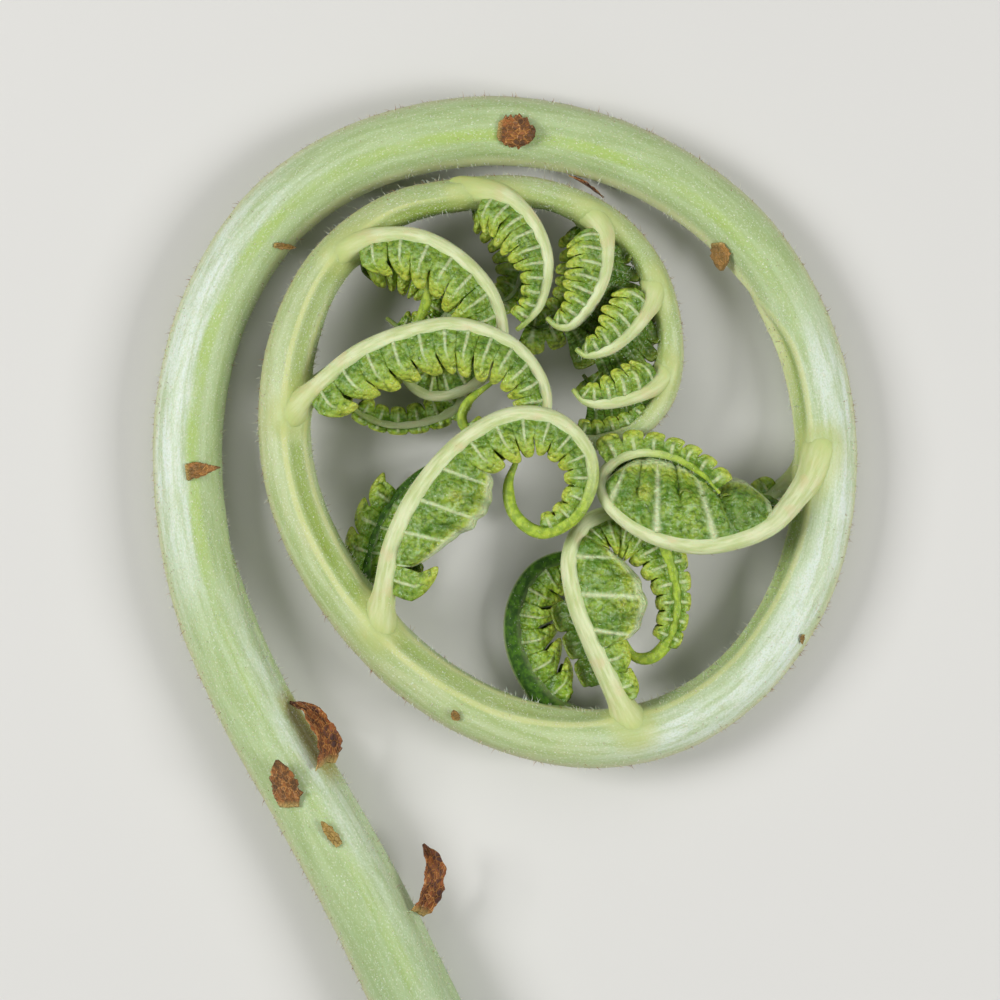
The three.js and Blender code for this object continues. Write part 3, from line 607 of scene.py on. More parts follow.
# how far the blade may reach from its midrib
def addReach(line, leaflet):
    look = bladeLook
    line["reach"] = []
    near, room = look["curl"]
    for mark in line["marks"]:
        share = mark / line["length"]
        before, after = (lineFrame(line, mark + step)[1] for step in (-near, near))
        curl = 2 * near / max(1e-3, before.angle(after))
        fill = min(1.0, leaflet.get("fill", look["fill"]) + 1.2 * share)
        thin = 1 - easeIn(share, 0.42, 0.85)
        full = look["tailWidth"] + (leaflet["width"] * fill - look["tailWidth"]) * thin
        line["reach"].append(min(full, room * curl))


# start and pitch of lobes that get closer along a midrib
def lobeRows(start, end, count):
    fall = bladeLook["pitchFall"]
    total = sum(fall ** row for row in range(count))
    rows = []
    for row in range(count):
        pitch = (end - start) * fall ** row / total
        rows.append((sum(before[1] for before in rows) + start, pitch))
    return rows


# free room behind a midrib, up to the stalk
def roomBehind(line, mark, upTo):
    look = bladeLook["backing"]
    spot, _, inward, _ = lineFrame(line, mark)
    free = look["from"]
    while free < upTo and gapInPlan((spot - inward * free) * inPlan) > -look["under"]:
        free += look["step"]
    return free


def makeBlade(name, node, line, leaflet, row, end, material, seed):
    look = bladeLook
    draw = random.Random(seed)
    bm = bmesh.new()
    leafLayer = bm.verts.layers.float_vector.new("leaf")
    shadeLayer = bm.verts.layers.float.new("shade")
    rimLayer = bm.verts.layers.float.new("rim")
    paleLayer = bm.verts.layers.float.new("pale")

    def crinkled(spot):
        return sum(height * noise.noise(spot / size) for size, height in look["crinkle"])

    # side is 1 above the fold, way is -1 on the outer side of the midrib
    def addLobe(start, pitch, side, way, grid, size=1.0, reach=None, lean=None, shade=0.0, drop=0, cut=None):
        slopeWild, longWild, droopWild, cutWild = (draw.uniform(-1, 1) * most for most in look["wild"])
        slope = math.radians(look["openUp" if side > 0 else "openDown"][row] + slopeWild + drop)
        under = 1.0 if side > 0 or reach else look["underWidth"]
        sinus = (cut or look["sinus"]) + cutWild
        slit = leaflet.get("slit", look["slit"])
        web, tipForm = look["web"], look["round"]
        seatIn, seatUp = look["seat"]

        def place(corner, across, along):
            aside = 2 * across - 1
            out, width, tip = along / web * sinus, 1.0, 0.0
            if along > web:
                tip = math.sin(math.pi / 2 * (along - web) / (1 - web))
                width = (1 - tip ** tipForm) ** (1 / tipForm) * (1 - slit * easeIn(tip, 0.0, 0.2))
                out = sinus + (1 - sinus) * tip * (1 + longWild)
            offVein = aside * width * pitch / 2
            distance = start + pitch / 2 + offVein
            girth = lineValue(line, "girth", distance)
            base = girth * seatIn
            full = max(reach or lineValue(line, "reach", distance), girth + look["least"])
            span = (girth + look["gap"] + (full - girth - look["gap"]) * under - base) * size
            forward = lean
            if lean is None:
                forward = leaflet.get("lean", look["lean"]) * span * (1 - 0.6 * distance / line["length"])
            spot, _, inward, up = lineFrame(line, distance + forward * tip ** 1.5)
            away = base + span * out * math.cos(slope)
            rise = base * seatUp + (min(look["fold"], full / 2) - base * seatUp) * easeIn(out, 0.0, 0.3)
            rise += span * math.sin(slope) * (1.5 * out - 0.5 * out ** 3)
            rise -= span * (look["tipDrop"] + droopWild) * max(0.0, (out - 0.45) / 0.55) ** 2
            rise -= look["edgeDrop"] * min(1.0, pitch / 1.5) * aside * aside * (0.35 + 0.65 * tip)
            rise += look["ridge"] * hill(offVein, 0.0, 0.13) * (1 - out)
            rise += crinkled(spot + inward * away + Vector((0, 0, 5 * side))) * min(1.0, 3 * out)
            corner.co = spot + inward * (away * way) + up * (rise * side)
            corner.co.z = max(0.04, corner.co.z)
            corner[leafLayer] = Vector((offVein, span * out, out))
            # painted shade: at the roots of lobes on a dark midrib, and on the lobes below the fold
            dark = leaflet.get("dark", 0.0) * 0.6 * easeIn(out, 0.4, 0.08)
            corner[shadeLayer] = max(shade, dark, 0.45 - 0.45 * side)
            sides = easeIn(abs(aside), 0.55, 1.0) * easeIn(out, sinus * 0.9, 1.0)
            corner[rimLayer] = max(sides, easeIn(out, 0.62, 1.0))

        bendGrid(bm, *look[grid], place)

    # broad part between the midrib and a listed edge
    def addApron(apron):
        keys = [point[0] for point in apron["edge"]]
        perSpan = 12
        marks = []
        for start, after in zip(keys, keys[1:]):
            marks += [start + (after - start) * step / perSpan for step in range(perSpan)]
        edge = {"marks": marks + [keys[-1]],
                "spots": throughPoints([point[1:] for point in apron["edge"]], perSpan)}
        eye = Vector(apron["eye"]) + middle.xy
        tuckEnd, tuckDepth = apron.get("tuck", (-1.0, 0.0))

        def place(corner, across, along):
            distance = keys[0] + (keys[-1] - keys[0]) * across
            aside = abs(2 * across - 1)
            spot, _, inward, up = lineFrame(line, distance)
            girth = lineValue(line, "girth", distance)
            start = spot + inward * (girth * 0.6) + up * (girth * 0.4)
            rim = lineValue(edge, "spots", distance) + middle
            offVein = min((distance - vein for vein in apron["veins"]), key=abs)
            ends = easeIn(aside, 1.0, 0.7)
            wave = look["scallop"] * noise.noise(Vector((1.4 * distance, seed, 0)))
            corner.co = start.lerp(rim, along * (1 + wave))
            far = (corner.co.xy - eye).length
            fold = max(hill(distance, at, 0.32) * easeIn(along, *span) for at, *span in apron["folds"])
            tucked = easeIn(distance, tuckEnd + 0.2, tuckEnd - 0.15) * easeIn(along, 0.0, 0.25)
            rise = apron["dome"] * math.sin(math.pi * along ** 0.8) * (0.3 + 0.7 * ends)
            rise += look["puff"] * (1 - hill(offVein, 0.0, 0.5)) * math.sin(math.pi * along)
            rise += 1.6 * look["ridge"] * hill(offVein, 0.0, 0.18) * (1 - along)
            rise += look["ripple"] * math.cos(2 * math.pi * far / 0.8) * hill(far, 0.0, 1.3)
            rise += look["roll"] * hill(along, 0.89, 0.05) * ends
            rise -= look["rimDrop"] * easeIn(along, 0.9, 1.0) + 0.25 * (1 - easeIn(aside, 1.0, 0.92))
            rise -= look["foldDepth"] * fold + tuckDepth * tucked
            corner.co.z += rise + 1.2 * crinkled(corner.co) * min(1.0, 4 * along * (1 - along))
            corner[leafLayer] = Vector((offVein * 0.8, (rim - start).length * along, along * 0.45))
            corner[shadeLayer] = max(hill(far, 0.0, 0.13), 0.5 * fold, 0.4 * tucked)
            corner[rimLayer] = max(0.95 * hill(far, 0.0, 0.5), 0.6 * easeIn(along, 0.64, 0.86))
            vein = hill(offVein, 0.0, apron["veinWidth"]) * easeIn(along, 0.97, 0.7)
            corner[paleLayer] = max(easeIn(along, 0.85, 0.92), easeIn(aside, 0.95, 0.985), vein)

        bendGrid(bm, *look["broad"], place)

    upper = lower = lobeRows(leaflet["start"], end, leaflet["lobes"])
    inside = True
    if "apron" in leaflet:
        apron = leaflet["apron"]
        addApron(apron)
        upper = lobeRows(apron["edge"][-1][0] - 0.2, end, apron["after"])
        inside = apron.get("inside", True)
    for start, pitch, reach, lean in leaflet.get("first", ()):
        addLobe(start, pitch, 1, 1, "fine", reach=reach, lean=lean)
    grid = leaflet.get("grid", "plain" if row == "far" else "fine")
    shade = leaflet.get("shade", 0.0)
    bareFrom = leaflet.get("bareFrom", math.inf) * line["length"]
    beadFrom, beadTo, beadSize, *beadLean = leaflet.get("beads", (math.inf, math.inf, 1.0))
    for start, pitch in upper:
        if start > bareFrom:
            break
        if inside:
            addLobe(start, pitch, 1, 1, grid, shade=shade)
        if beadFrom <= start / line["length"] <= beadTo:
            addLobe(start, pitch, 1, -1, grid, size=beadSize, lean=sum(beadLean), shade=shade)
    behind = look["backing"]
    backReach, backTo, backShade = leaflet.get("backing", (0.0, 0.0, 0.0))
    for start, pitch in lower:
        if start > bareFrom:
            break
        addLobe(start, pitch, -1, 1, "plain")
        if start < backTo * line["length"]:
            rooms = [roomBehind(line, mark, backReach) for mark in (start, start + pitch)]
            if min(rooms) > behind["least"]:
                addLobe(start, pitch, -1, -1, "plain", reach=sum(rooms) / 2, lean=0.0, shade=backShade,
                        drop=behind["drop"], cut=behind["cut"])
    bmesh.ops.remove_doubles(bm, verts=bm.verts, dist=2e-4)
    piece = finishPiece(bm, name, [material], [node])
    thicken(piece, look["thick"])
    return piece


# Scales: place along the stalk, side in degrees (90 is on top), turn from the way along, length, width,
# where it is widest, first lift and curl, how faded it is and how far it is rolled over.
# The last two are specks with no node of their own
scaleKeys = ("at", "side", "turn", "length", "width", "widest", "lift", "curl", "fade", "roll")
scaleRows = [
    (10.6, 16, -4, 4.8, 1.7, 0.2, 74, -86, 0.0, 38),
    (16.6, 80, 8, 1.9, 0.7, 0.2, 4, 6, 0.9, 0),
    (20.2, 116, -24, 3.3, 1.95, 0.22, 6, 10, 0.15, 0),
    (21.4, 40, -6, 5.4, 2.0, 0.34, 58, -124, 0.0, 0),
    (42.2, 88, -85, 2.2, 1.0, 0.42, 4, 4, 0.3, 0),
    (58.2, 52, -60, 1.5, 0.4, 0.2, 4, 4, 0.6, 0),
    (75.2, 86, -6, 2.4, 2.0, 0.08, 6, 10, 0.1, 0),
    (80.3, -8, 0, 2.6, 1.4, 0.14, 12, 14, 0.0, 0),
    (91.6, 40, -30, 1.8, 1.4, 0.12, 14, 10, 0.5, 0),
    (142.0, 122, -50, 0.8, 0.55, 0.2, 4, 6, 0.6, 0),
    (118.8, 128, 30, 0.6, 0.32, 0.2, 4, 6, 0.6, 0),
]
scaleNodes = 9
scaleLook = {
    "columns": 16, "rows": 40, "thick": 0.07, "stand": 0.1,
    "ragged": 0.3, "cup": 0.3, "crumple": 0.16,
    "standing": (10, 50),  # lift at which a scale starts to stand free, and stands
}


def makeScale(name, nodes, scale, material, seed):
    look = scaleLook
    spot, along, inward, up = lineFrame(stalkLine, scale["at"])
    radius = lineValue(stalkLine, "girth", scale["at"])
    side, turn, roll = (math.radians(scale[key]) for key in ("side", "turn", "roll"))
    away = inward * math.cos(side) + up * math.sin(side)
    heading = along * math.cos(turn) + away.cross(along) * math.sin(turn)
    across = heading.cross(away)
    rows = look["rows"]
    length, width, widest = scale["length"], scale["width"], scale["widest"]
    base = spot + away * (radius * 1.03 + look["stand"])
    spine = []  # middle of each row, the way it faces and the way it is broad
    for row in range(rows + 1):
        lean = math.radians(scale["lift"] + scale["curl"] * row / rows)
        normal = away * math.cos(lean) - heading * math.sin(lean)
        spine.append((base.copy(), normal * math.cos(roll) - across * math.sin(roll),
                      across * math.cos(roll) + normal * math.sin(roll)))
        base += (heading * math.cos(lean) + away * math.sin(lean)) * (length / rows)
    standing = easeIn(scale["lift"], *look["standing"])
    bm = bmesh.new()
    flakeLayer = bm.verts.layers.float_vector.new("flake")
    fadeLayer = bm.verts.layers.float.new("fade")

    def place(corner, sideways, along):
        base, normal, breadth = spine[round(along * rows)]
        aside = 2 * sideways - 1
        bulge = math.sin(math.pi * (widest + (0.985 - widest) * along)) ** (0.45 + 1.6 * widest)
        edgeSpot = Vector((along * 9, 2 * math.copysign(1, aside) + seed, seed * 1.7))
        ragged = look["ragged"] * (noise.noise(edgeSpot) + 0.5 * noise.noise(edgeSpot * 2.7))
        half = width / 2 * bulge * (1 + ragged)
        drop = (half * aside) ** 2 / (2 * radius) * (1 - standing)
        lift = look["cup"] * half * aside * aside * standing
        crumple = noise.noise(Vector((aside * 1.6, along * 4, seed * 3)))
        lift += look["crumple"] * (0.4 + standing) * crumple
        corner.co = base + breadth * (aside * half) - away * drop + normal * lift
        corner[flakeLayer] = Vector((aside * half, along * length, along))
        corner[fadeLayer] = scale["fade"]

    bendGrid(bm, look["columns"], rows, place)
    bmesh.ops.remove_doubles(bm, verts=bm.verts, dist=1e-4)
    piece = finishPiece(bm, name, [material], nodes)
    thicken(piece, look["thick"])


# Hairs: thin bent spikes on the stalk and the midribs
hairLook = {
    "stalk": {"perMm": 62, "length": (0.14, 0.46), "radius": 0.03, "lean": 0.55, "onTop": 0.35},
    "rib": {"perMm": 16, "length": (0.1, 0.26), "radius": 0.02, "lean": 0.5, "onTop": 0.5},
    "bend": 0.35, "sides": 3, "tip": 0.12,
    "turns": (-60, 240),  # where they grow, in degrees from the inner side
    "sunk": 0.02, "clear": (0.1, 0.05),  # how deep they sit, and how far root and tip keep off the floor
    "outerSide": -0.6, "rareOuter": 2, "rare": 9,  # how rare brown hairs are, on that side and elsewhere
}


# one hair of unit length, standing on the origin
def makeHairMesh():
    bm = bmesh.new()
    bmesh.ops.create_cone(bm, cap_ends=False, segments=hairLook["sides"], radius1=1.0,
                          radius2=hairLook["tip"], depth=1.0, matrix=Matrix.Translation((0, 0, 0.5)))
    upright = [edge for edge in bm.edges if abs(edge.verts[0].co.z - edge.verts[1].co.z) > 0.5]
    bmesh.ops.subdivide_edges(bm, edges=upright, cuts=1)
    bmesh.ops.holes_fill(bm, edges=bm.edges)
    bm.verts.layers.float.new("brown")
    return bm


def makeHairs(name, lines, look, roundShare, material, seed):
    draw = random.Random(seed)
    single = makeHairMesh()
    hair = bpy.data.meshes.new("hair")
    bm = bmesh.new()
    bm.verts.layers.float.new("brown")
    low, high = look["length"]
    rootClear, tipClear = hairLook["clear"]
    for line in lines:
        for _ in range(round(line["length"] * look["perMm"])):
            distance = draw.uniform(0.3, line["length"])
            turn = draw.uniform(*hairLook["turns"])
            angle = math.radians(turn)
            lean, swing, tall = draw.gauss(0, look["lean"]), draw.gauss(0, look["lean"]), draw.random()
            onOuter = math.cos(angle) < hairLook["outerSide"]
            brown = draw.random() ** hairLook["rareOuter" if onOuter else "rare"]
            spot, along, inward, up = lineFrame(line, distance)
            outward = inward * math.cos(angle) + up * math.sin(angle)
            girth = lineValue(line, "girth", distance)
            turn = turn - 360 if turn > 180 else turn
            root = spot + outward * (girth * roundShare(turn, distance) - hairLook["sunk"])
            way = (outward + along * lean + outward.cross(along) * swing).normalized()
            length = low + (high - low) * tall ** 2
            length *= 1 - (1 - look["onTop"]) * easeIn(math.sin(angle), 0.2, 0.7)
            if root.z + way.z * length < tipClear or root.z < rootClear:
                continue
            standing = way.to_track_quat("Z", "Y").to_matrix().to_4x4()
            size = Matrix.Diagonal((look["radius"], look["radius"], length, 1.0))
            copy = single.copy()
            layer = copy.verts.layers.float["brown"]
            for corner in copy.verts:
                corner.co.x += hairLook["bend"] * corner.co.z ** 2 * length / look["radius"]
                corner[layer] = brown
            copy.transform(Matrix.Translation(root) @ standing @ size)
            copy.to_mesh(hair)
            copy.free()
            bm.from_mesh(hair)
    single.free()
    bpy.data.meshes.remove(hair)
    return finishPiece(bm, name, [material])


# Stalk skin: colours, runs along the stalk as (from, to, fade) in mm, bands round it as (angle, width)
stalkPaint = {
    "outer": (rgb(164, 186, 124), rgb(182, 202, 148)),
    "inner": (rgb(168, 188, 120), rgb(194, 208, 156)), "innerCloud": rgb(198, 202, 150),
    "innerFrom": (118.0, 150.0),
    "dull": rgb(140, 160, 92), "dullRun": (172.0, 196.0, 9.0),
    # greyer tone towards the cut end, darkened as painted shade where the light falls off
    "cutEndShade": rgb(140, 166, 124), "cutEndShadeRun": (2.0, 18.0),
    # waxy bloom with a painted highlight, laid on the stretches and sides where the side lamps' highlights
    # fall
    "bloomAndHighlight": rgb(220, 231, 220),
    "highlightLeft": ((43.0, 54.0, 14.0), (2.1, 0.95)), "highlightRight": ((104.0, 127.0, 9.0), (1.9, 1.15)),
    "highlightLow": ((-10.0, 28.0, 9.0), (0.75, 1.05)),
    "lime": rgb(168, 196, 84), "limeBand": (1.34, 0.26),
    # olive of the groove and the trough, partly painted shade, darkest at the inner edge
    "olive": rgb(142, 166, 62), "deepOliveShade": rgb(78, 104, 12),
    "crest": rgb(218, 222, 150), "crestBand": (25.0, 9.0),  # in degrees from the groove
    # paler inner rim of the outer turn: a painted highlight over the shade there
    "lipHighlight": rgb(224, 230, 168), "lipHighlightAt": ((62.0, 98.0, 10.0), (0.15, 0.6)),
    "stain": rgb(154, 142, 34), "stainAt": ((21.4, 25.4, 2.0), (0.4, 0.62)),
    "back": rgb(196, 186, 136), "backBand": (math.pi, 0.75),
    "fleck": rgb(232, 238, 218), "speck": rgb(222, 231, 204), "root": rgb(193, 202, 124),
}


def stalkSkin():
    look = stalkPaint
    material, tree, shader = startMaterial("stalkSkin", Subsurface_Weight=0.12, Subsurface_Scale=0.0008,
                                           Specular_IOR_Level=0.45, Coat_Weight=0.1, Coat_Roughness=0.3)
    rod = readLayer(tree, "rod", "Vector")
    along, inward, up = addNode(tree, "SeparateXYZ", {0: rod}).outputs
    angle = calc(tree, "ARCTAN2", up, inward)
    streaks = grain(tree, stretched(tree, rod, 0.1, 1.0, 1.0), 2.4, 5.0)
    clouds = grain(tree, stretched(tree, rod, 0.2, 0.6, 0.6), 1.1, 4.0)
    specks = grain(tree, stretched(tree, rod, 0.7, 1.0, 1.0), 10.0, 2.0)
    broken = grain(tree, stretched(tree, rod, 0.12, 0.2, 0.2), 1.9, 5.0)
    fine = grain(tree, stretched(tree, rod, 0.5, 1.0, 1.0), 9.0, 4.0, 0.65)

    def area(run, band):
        return times(tree, stretchMask(tree, along, *run), bandMask(tree, angle, *band))

    streaky = remap(tree, streaks, 0.3, 0.7)
    inner = mixColour(tree, streaky, *look["inner"])
    inner = mixColour(tree, remap(tree, clouds, 0.45, 0.7, 0.0, 0.5), inner, look["innerCloud"])

    # painted highlight over the waxy bloom, on the left, right and low stretches of the stalk
    bloomAndHighlight = calc(tree, "MAXIMUM", area(*look["highlightLeft"]), area(*look["highlightRight"]))
    lowHighlight = times(tree, area(*look["highlightLow"]), remap(tree, along, 8.0, 22.0, 0.2, 0.68))
    bloomAndHighlight = times(tree, calc(tree, "MAXIMUM", bloomAndHighlight, lowHighlight), remap(tree, streaks, 0.36, 0.6, 0.5, 1.15),
                  remap(tree, clouds, 0.34, 0.6, 0.45, 0.85), remap(tree, specks, 0.3, 0.6, 0.6, 1.1))
    lime = times(tree, bandMask(tree, angle, *look["limeBand"]), remap(tree, broken, 0.34, 0.62, 0.15, 0.62),
                 remap(tree, along, 88.0, 104.0, 1.0, 0.15), remap(tree, along, 22.0, 42.0, 0.5, 1.0))
    # olive of the trough, partly painted shade, deepest towards the inner edge
    trough = readLayer(tree, "trough")
    deep = times(tree, trough, remap(tree, angle, 1.1, 0.2))
    olive = times(tree, readLayer(tree, "olive"), remap(tree, clouds, 0.3, 0.6, 0.6, 1.0))
    crest = times(tree, bandMask(tree, readLayer(tree, "groove"), *look["crestBand"]),
                  remap(tree, along, 90.0, 102.0, 0.0, 0.55), remap(tree, trough, 0.0, 0.6, 1.0, 0.0))
    back = bandMask(tree, calc(tree, "ABSOLUTE", angle), *look["backBand"])
    fleck = remap(tree, dots(tree, stretched(tree, rod, 0.7, 1.0, 1.0), 3.4), 0.06, 0.2, 0.8, 0.0)
    fleck = times(tree, fleck, remap(tree, clouds, 0.42, 0.58))
    tone = addCoats(tree, mixColour(tree, streaky, *look["outer"]), (
        (remap(tree, along, *look["innerFrom"]), inner),
        (times(tree, stretchMask(tree, along, *look["dullRun"]), 0.22), look["dull"]),
        # greyer tone and painted shade towards the cut end
        (remap(tree, along, *look["cutEndShadeRun"], 0.4, 0.0), look["cutEndShade"]),
        (bloomAndHighlight, look["bloomAndHighlight"]),
        (lime, look["lime"]),
        (olive, mixColour(tree, deep, look["olive"], look["deepOliveShade"])),
        (crest, look["crest"]),
        # painted highlight on the inner rim
        (times(tree, area(*look["lipHighlightAt"]), 0.85), look["lipHighlight"]),
        (times(tree, area(*look["stainAt"]), 0.88), look["stain"]),
        (times(tree, back, 0.45), look["back"]),
        (fleck, look["fleck"]),
        (remap(tree, specks, 0.52, 0.76, 0.0, 0.6), look["speck"]),
        (times(tree, readLayer(tree, "root"), 0.95), look["root"]),
    ))
    paint(tree, shader, tone, remap(tree, streaks, 0.25, 0.75, 0.34, 0.52))
    addBump(tree, shader, calc(tree, "ADD", times(tree, fine, 0.8), times(tree, fleck, 0.5)), 0.6, 0.07)
    return material


ribPaint = {
    "skin": (rgb(190, 204, 138), rgb(222, 229, 184)), "blush": rgb(222, 200, 160),
    "root": stalkPaint["root"],
    # the dark green is painted shade on the far midribs
    "tail": (rgb(126, 160, 4), rgb(172, 198, 44)), "dark": (rgb(34, 70, 0), rgb(72, 116, 6)),
}


def ribSkin():
    look = ribPaint
    material, tree, shader = startMaterial("ribSkin", Subsurface_Weight=0.15, Subsurface_Scale=0.0006,
                                           Specular_IOR_Level=0.35)
    rod = readLayer(tree, "rod", "Vector")
    streaks = grain(tree, stretched(tree, rod, 0.25, 1.6, 1.6), 2.4, 4.0)
    mottle = grain(tree, rod, 2.6, 4.0, 0.65)
    blush = grain(tree, stretched(tree, rod, 0.5, 0.6, 0.6), 1.3, 2.0)
    dark = readLayer(tree, "dark")
    young = mixColour(tree, remap(tree, mottle, 0.4, 0.62), *look["tail"])
    tone = addCoats(tree, mixColour(tree, remap(tree, streaks, 0.3, 0.7), *look["skin"]), (
        (remap(tree, blush, 0.56, 0.74, 0.0, 0.4), look["blush"]),
        (times(tree, readLayer(tree, "root"), 0.95), look["root"]),
        (times(tree, readLayer(tree, "tail"), 0.9), young),
        # painted shade on the far midribs
        (dark, mixColour(tree, remap(tree, mottle, 0.38, 0.66), *look["dark"])),
    ))
    rough = remap(tree, streaks, 0.25, 0.75, 0.34, 0.52)
    paint(tree, shader, tone, calc(tree, "ADD", rough, times(tree, dark, 0.3)))
    addBump(tree, shader, grain(tree, stretched(tree, rod, 0.4, 2.0, 2.0), 6.0, 3.0), 0.45, 0.04)
    return material


cutPaint = {
    "pith": (rgb(196, 206, 150), rgb(222, 226, 190)), "rind": rgb(150, 150, 84), "rindFrom": (1.9, 2.5),
    "strands": 5.0, "strand": rgb(122, 110, 58), "strandBand": (1.35, 0.32),
}


def cutSkin():
    look = cutPaint
    material, tree, shader = startMaterial("cutSkin", Subsurface_Weight=0.2, Subsurface_Scale=0.0008)
    rod = readLayer(tree, "rod", "Vector")
    _, inward, up = addNode(tree, "SeparateXYZ", {0: rod}).outputs
    squares = calc(tree, "ADD", calc(tree, "POWER", inward, 2.0), calc(tree, "POWER", up, 2.0))
    radius = calc(tree, "POWER", squares, 0.5)
    pith = mixColour(tree, grain(tree, rod, 3.0), *look["pith"])
    turns = times(tree, calc(tree, "ARCTAN2", up, inward), look["strands"])
    strands = times(tree, bandMask(tree, radius, *look["strandBand"]),
                    remap(tree, calc(tree, "SINE", turns), 0.35, 0.8))
    tone = addCoats(tree, pith, (
        (remap(tree, radius, *look["rindFrom"]), look["rind"]),
        (strands, look["strand"]),
    ))
    paint(tree, shader, tone, remap(tree, radius, 0.0, 2.5, 0.45, 0.7))
    addBump(tree, shader, grain(tree, rod, 9.0, 3.0), 0.5, 0.05)
    return material


bladePaint = {  # dark, light and edge of each row, and what both have
    "near": (rgb(88, 132, 34), rgb(170, 196, 66), rgb(200, 210, 78)),
    # the far row's tones are lighter than the near row's: painted light against the shade it lies in
    "far": (rgb(88, 134, 22), rgb(188, 218, 64), rgb(214, 226, 92)),
    # the pale patches near the midrib are a painted highlight, and the darker pits painted shade in the
    # hollows between the bumps
    "glare": rgb(180, 208, 152), "vein": rgb(212, 225, 174), "pitShade": 0.55, "shade": 0.5,
}


def bladeSkin(row):
    look = bladePaint
    dark, light, edge = look[row]
    material, tree, shader = startMaterial(row + "BladeSkin", Subsurface_Weight=0.2,
                                           Subsurface_Scale=0.0004, Specular_IOR_Level=0.5)
    offVein, _, out = addNode(tree, "SeparateXYZ", {0: readLayer(tree, "leaf", "Vector")}).outputs
    place = addNode(tree, "TexCoord").outputs["Object"]
    clouds = grain(tree, place, 1500.0, 3.0, 0.55)
    patches = grain(tree, place, 480.0, 2.0)
    mottle = grain(tree, place, 2700.0, 2.0, 0.5)
    cells = dots(tree, place, 3300.0)
    fine = grain(tree, place, 9000.0, 2.0)
    ripe = remap(tree, out, 0.15, 0.9, 0.0, 0.5)
    ripe = calc(tree, "MULTIPLY_ADD", remap(tree, clouds, 0.36, 0.64), 0.4, ripe)
    ripe = calc(tree, "MULTIPLY_ADD", remap(tree, patches, 0.4, 0.62), 0.25, ripe)
    # pale patches near the midrib, a painted highlight
    glare = times(tree, remap(tree, mottle, 0.46, 0.68), remap(tree, out, 0.2, 0.85, 0.6, 0.15),
                  remap(tree, patches, 0.4, 0.6, 0.4, 1.0))
    # darker in the hollows between the bumps, painted shade
    pitShade = times(tree, remap(tree, cells, 0.4, 0.75, 0.0, 0.75), remap(tree, mottle, 0.36, 0.55, 1.0, 0.2))
    vein = times(tree, remap(tree, calc(tree, "ABSOLUTE", offVein), 0.03, 0.14, 1.0, 0.0),
                 remap(tree, out, 0.35, 0.85, 0.75, 0.0))
    vein = calc(tree, "MAXIMUM", vein, times(tree, readLayer(tree, "pale"), 0.95))
    tone = addCoats(tree, mixColour(tree, ripe, dark, light), (
        (times(tree, readLayer(tree, "rim"), 0.8), edge),
        (glare, look["glare"]),
        (pitShade, dimmed(dark, look["pitShade"])),
        (vein, look["vein"]),
        (times(tree, readLayer(tree, "shade"), 0.8), dimmed(dark, look["shade"])),
    ))
    paint(tree, shader, tone, remap(tree, clouds, 0.3, 0.7, 0.2, 0.38))
    height = calc(tree, "SUBTRACT", times(tree, mottle, 1.4), cells)
    for bump, share in ((fine, 0.35), (vein, 0.5)):
        height = calc(tree, "MULTIPLY_ADD", bump, share, height)
    addBump(tree, shader, height, 0.85, 0.14)
    return material


scalePaint = {
    "flesh": (rgb(66, 30, 16), rgb(158, 88, 34)), "net": rgb(214, 150, 84),
    "root": rgb(210, 184, 110), "tip": rgb(58, 32, 20), "faded": (rgb(150, 118, 48), rgb(206, 184, 104)),
}


def scaleSkin():
    look = scalePaint
    material, tree, shader = startMaterial("scaleSkin", Specular_IOR_Level=0.5)
    flake = readLayer(tree, "flake", "Vector")
    share = addNode(tree, "SeparateXYZ", {0: flake}).outputs[2]
    place = stretched(tree, flake, 1.0, 0.6, 0.0)
    net = dots(tree, place, 4.6, "DISTANCE_TO_EDGE")
    clouds = grain(tree, place, 1.7, 4.0, 0.65)
    walls = times(tree, remap(tree, net, 0.02, 0.13, 0.85, 0.0), remap(tree, clouds, 0.36, 0.6, 0.35, 1.0))
    tone = addCoats(tree, mixColour(tree, remap(tree, clouds, 0.38, 0.62), *look["flesh"]), (
        (walls, look["net"]),
        (remap(tree, share, 0.0, 0.16, 0.7, 0.0), look["root"]),
        (remap(tree, share, 0.75, 1.0, 0.0, 0.7), look["tip"]),
        (times(tree, readLayer(tree, "fade"), 0.8), mixColour(tree, clouds, *look["faded"])),
    ))
    paint(tree, shader, tone, remap(tree, net, 0.0, 0.2, 0.35, 0.65))
    addBump(tree, shader, remap(tree, net, 0.0, 0.14, 1.0, 0.0), 0.9, 0.09)
    return material


hairPaint = {"pale": rgb(240, 240, 222), "brown": rgb(150, 96, 56)}


def hairSkin():
    material, tree, shader = startMaterial("hairSkin", Roughness=0.5, Subsurface_Weight=0.2,
                                           Subsurface_Scale=0.0003)
    tone = mixColour(tree, readLayer(tree, "brown"), hairPaint["pale"], hairPaint["brown"])
    tree.links.new(tone, shader.inputs["Base Color"])
    return material


skins = {"near": bladeSkin("near"), "far": bladeSkin("far"), "scale": scaleSkin(), "hair": hairSkin()}
stalk = makeStalk([stalkSkin(), ribSkin(), cutSkin()])
print("stalk and midribs:", len(stalk.data.polygons), "faces")

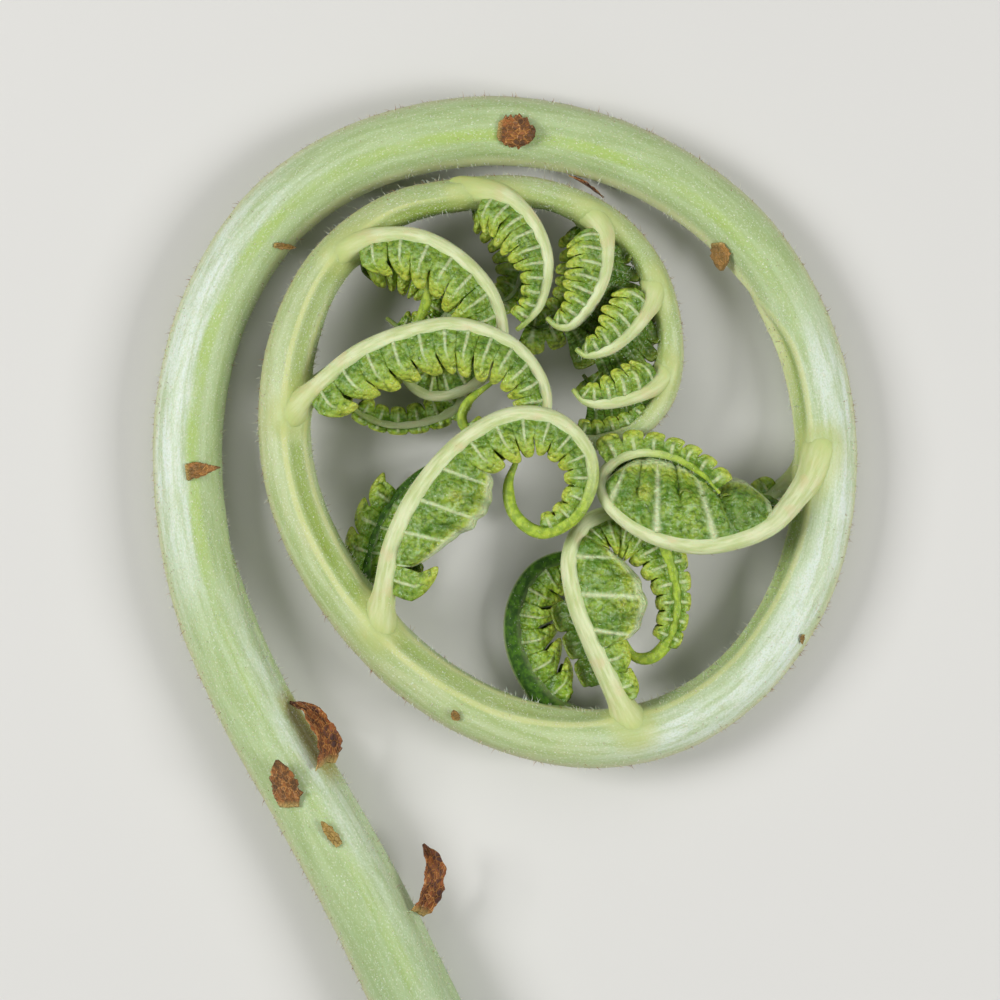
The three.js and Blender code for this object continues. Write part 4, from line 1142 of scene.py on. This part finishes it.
bladeFaces = 0
for row, leaflets, lines in (("near", nearLeaflets, nearLines), ("far", farLeaflets, farLines)):
    for count, (leaflet, line) in enumerate(zip(leaflets, lines), 1):
        addReach(line, leaflet)
        end = line["length"] * (1 - leaflet.get("tailBare", bladeLook["tailBare"]))
        blade = makeBlade(f"{row}_leaflet_{count}", f"{row}_blade_{count}", line, leaflet, row, end,
                          skins[row], 100 + count)
        bladeFaces += len(blade.data.polygons)
tipLeaflet = {"start": 207.0, "end": 212.4, "lobes": 5, "width": 1.6}
addReach(stalkLine, tipLeaflet)
makeBlade("tip_leaflet", "tip_blade", stalkLine, tipLeaflet, "tip", tipLeaflet["end"], skins["near"], 99)
print("leaflets:", bladeFaces, "faces")

for count, scale in enumerate(scaleRows, 1):
    nodes = [f"scale_{count}"] if count <= scaleNodes else []
    makeScale(f"brown_scale_{count}", nodes, dict(zip(scaleKeys, scale)), skins["scale"], count)
print("scales:", len(scaleRows))

stalkHairs = makeHairs("stalk_hairs", [stalkLine], hairLook["stalk"], stalkRound, skins["hair"], 7)
ribHairs = makeHairs("midrib_hairs", nearLines + farLines, hairLook["rib"], ribRound, skins["hair"], 8)
print("hairs:", len(stalkHairs.data.polygons) + len(ribHairs.data.polygons), "faces")


# Floor, lights and camera
stageLook = {
    "floor": rgb(218, 217, 213), "floorSize": 1.6,
    "world": 0.13,
    "lights": [  # place in m, size, power
        ((-0.30, 0.05, 0.26), 0.16, 1.05),
        ((0.30, -0.06, 0.26), 0.16, 0.94),
        ((0.0, 0.25, 0.34), 0.30, 0.26),
        ((0.0, -0.27, 0.30), 0.30, 0.16),
    ],
    "lens": 120.0, "sensor": 36.0,
    "across": 0.0625, "plane": 0.004, "lookAt": (-0.0003125, 0.00615),  # what the camera sees, in m
}


def makeFloor():
    bm = bmesh.new()
    bmesh.ops.create_grid(bm, x_segments=2, y_segments=2, size=stageLook["floorSize"])
    mesh = bpy.data.meshes.new("floor")
    bm.to_mesh(mesh)
    bm.free()
    material, tree, shader = startMaterial("floorPaint", Roughness=0.8)
    place = addNode(tree, "TexCoord").outputs["Object"]
    tone = mixColour(tree, grain(tree, place, 40.0), stageLook["floor"], dimmed(stageLook["floor"], 0.97))
    tree.links.new(tone, shader.inputs["Base Color"])
    mesh.materials.append(material)
    floor = bpy.data.objects.new("floor", mesh)
    bpy.context.scene.collection.objects.link(floor)


def makeLights():
    for count, (place, size, power) in enumerate(stageLook["lights"], 1):
        lamp = bpy.data.lights.new(f"softbox_{count}", "AREA")
        lamp.size = size
        lamp.energy = power
        softbox = bpy.data.objects.new(f"softbox_{count}", lamp)
        softbox.location = place
        softbox.rotation_euler = (-Vector(place)).to_track_quat("-Z", "Y").to_euler()
        bpy.context.scene.collection.objects.link(softbox)
    world = bpy.data.worlds.new("studio")
    world.use_nodes = True
    background = world.node_tree.nodes["Background"]
    background.inputs["Color"].default_value = (1.0, 1.0, 1.0, 1.0)
    background.inputs["Strength"].default_value = stageLook["world"]
    bpy.context.scene.world = world


def makeCamera():
    eye = bpy.data.cameras.new("camera")
    eye.sensor_width = stageLook["sensor"]
    eye.lens = stageLook["lens"]
    eye.clip_start = 0.01
    camera = bpy.data.objects.new("camera", eye)
    away = stageLook["across"] * eye.lens / eye.sensor_width
    camera.location = (*stageLook["lookAt"], stageLook["plane"] + away)
    bpy.context.scene.collection.objects.link(camera)
    bpy.context.scene.camera = camera


bpy.context.scene.view_settings.view_transform = "Standard"
makeFloor()
makeLights()
makeCamera()
print("stage set")
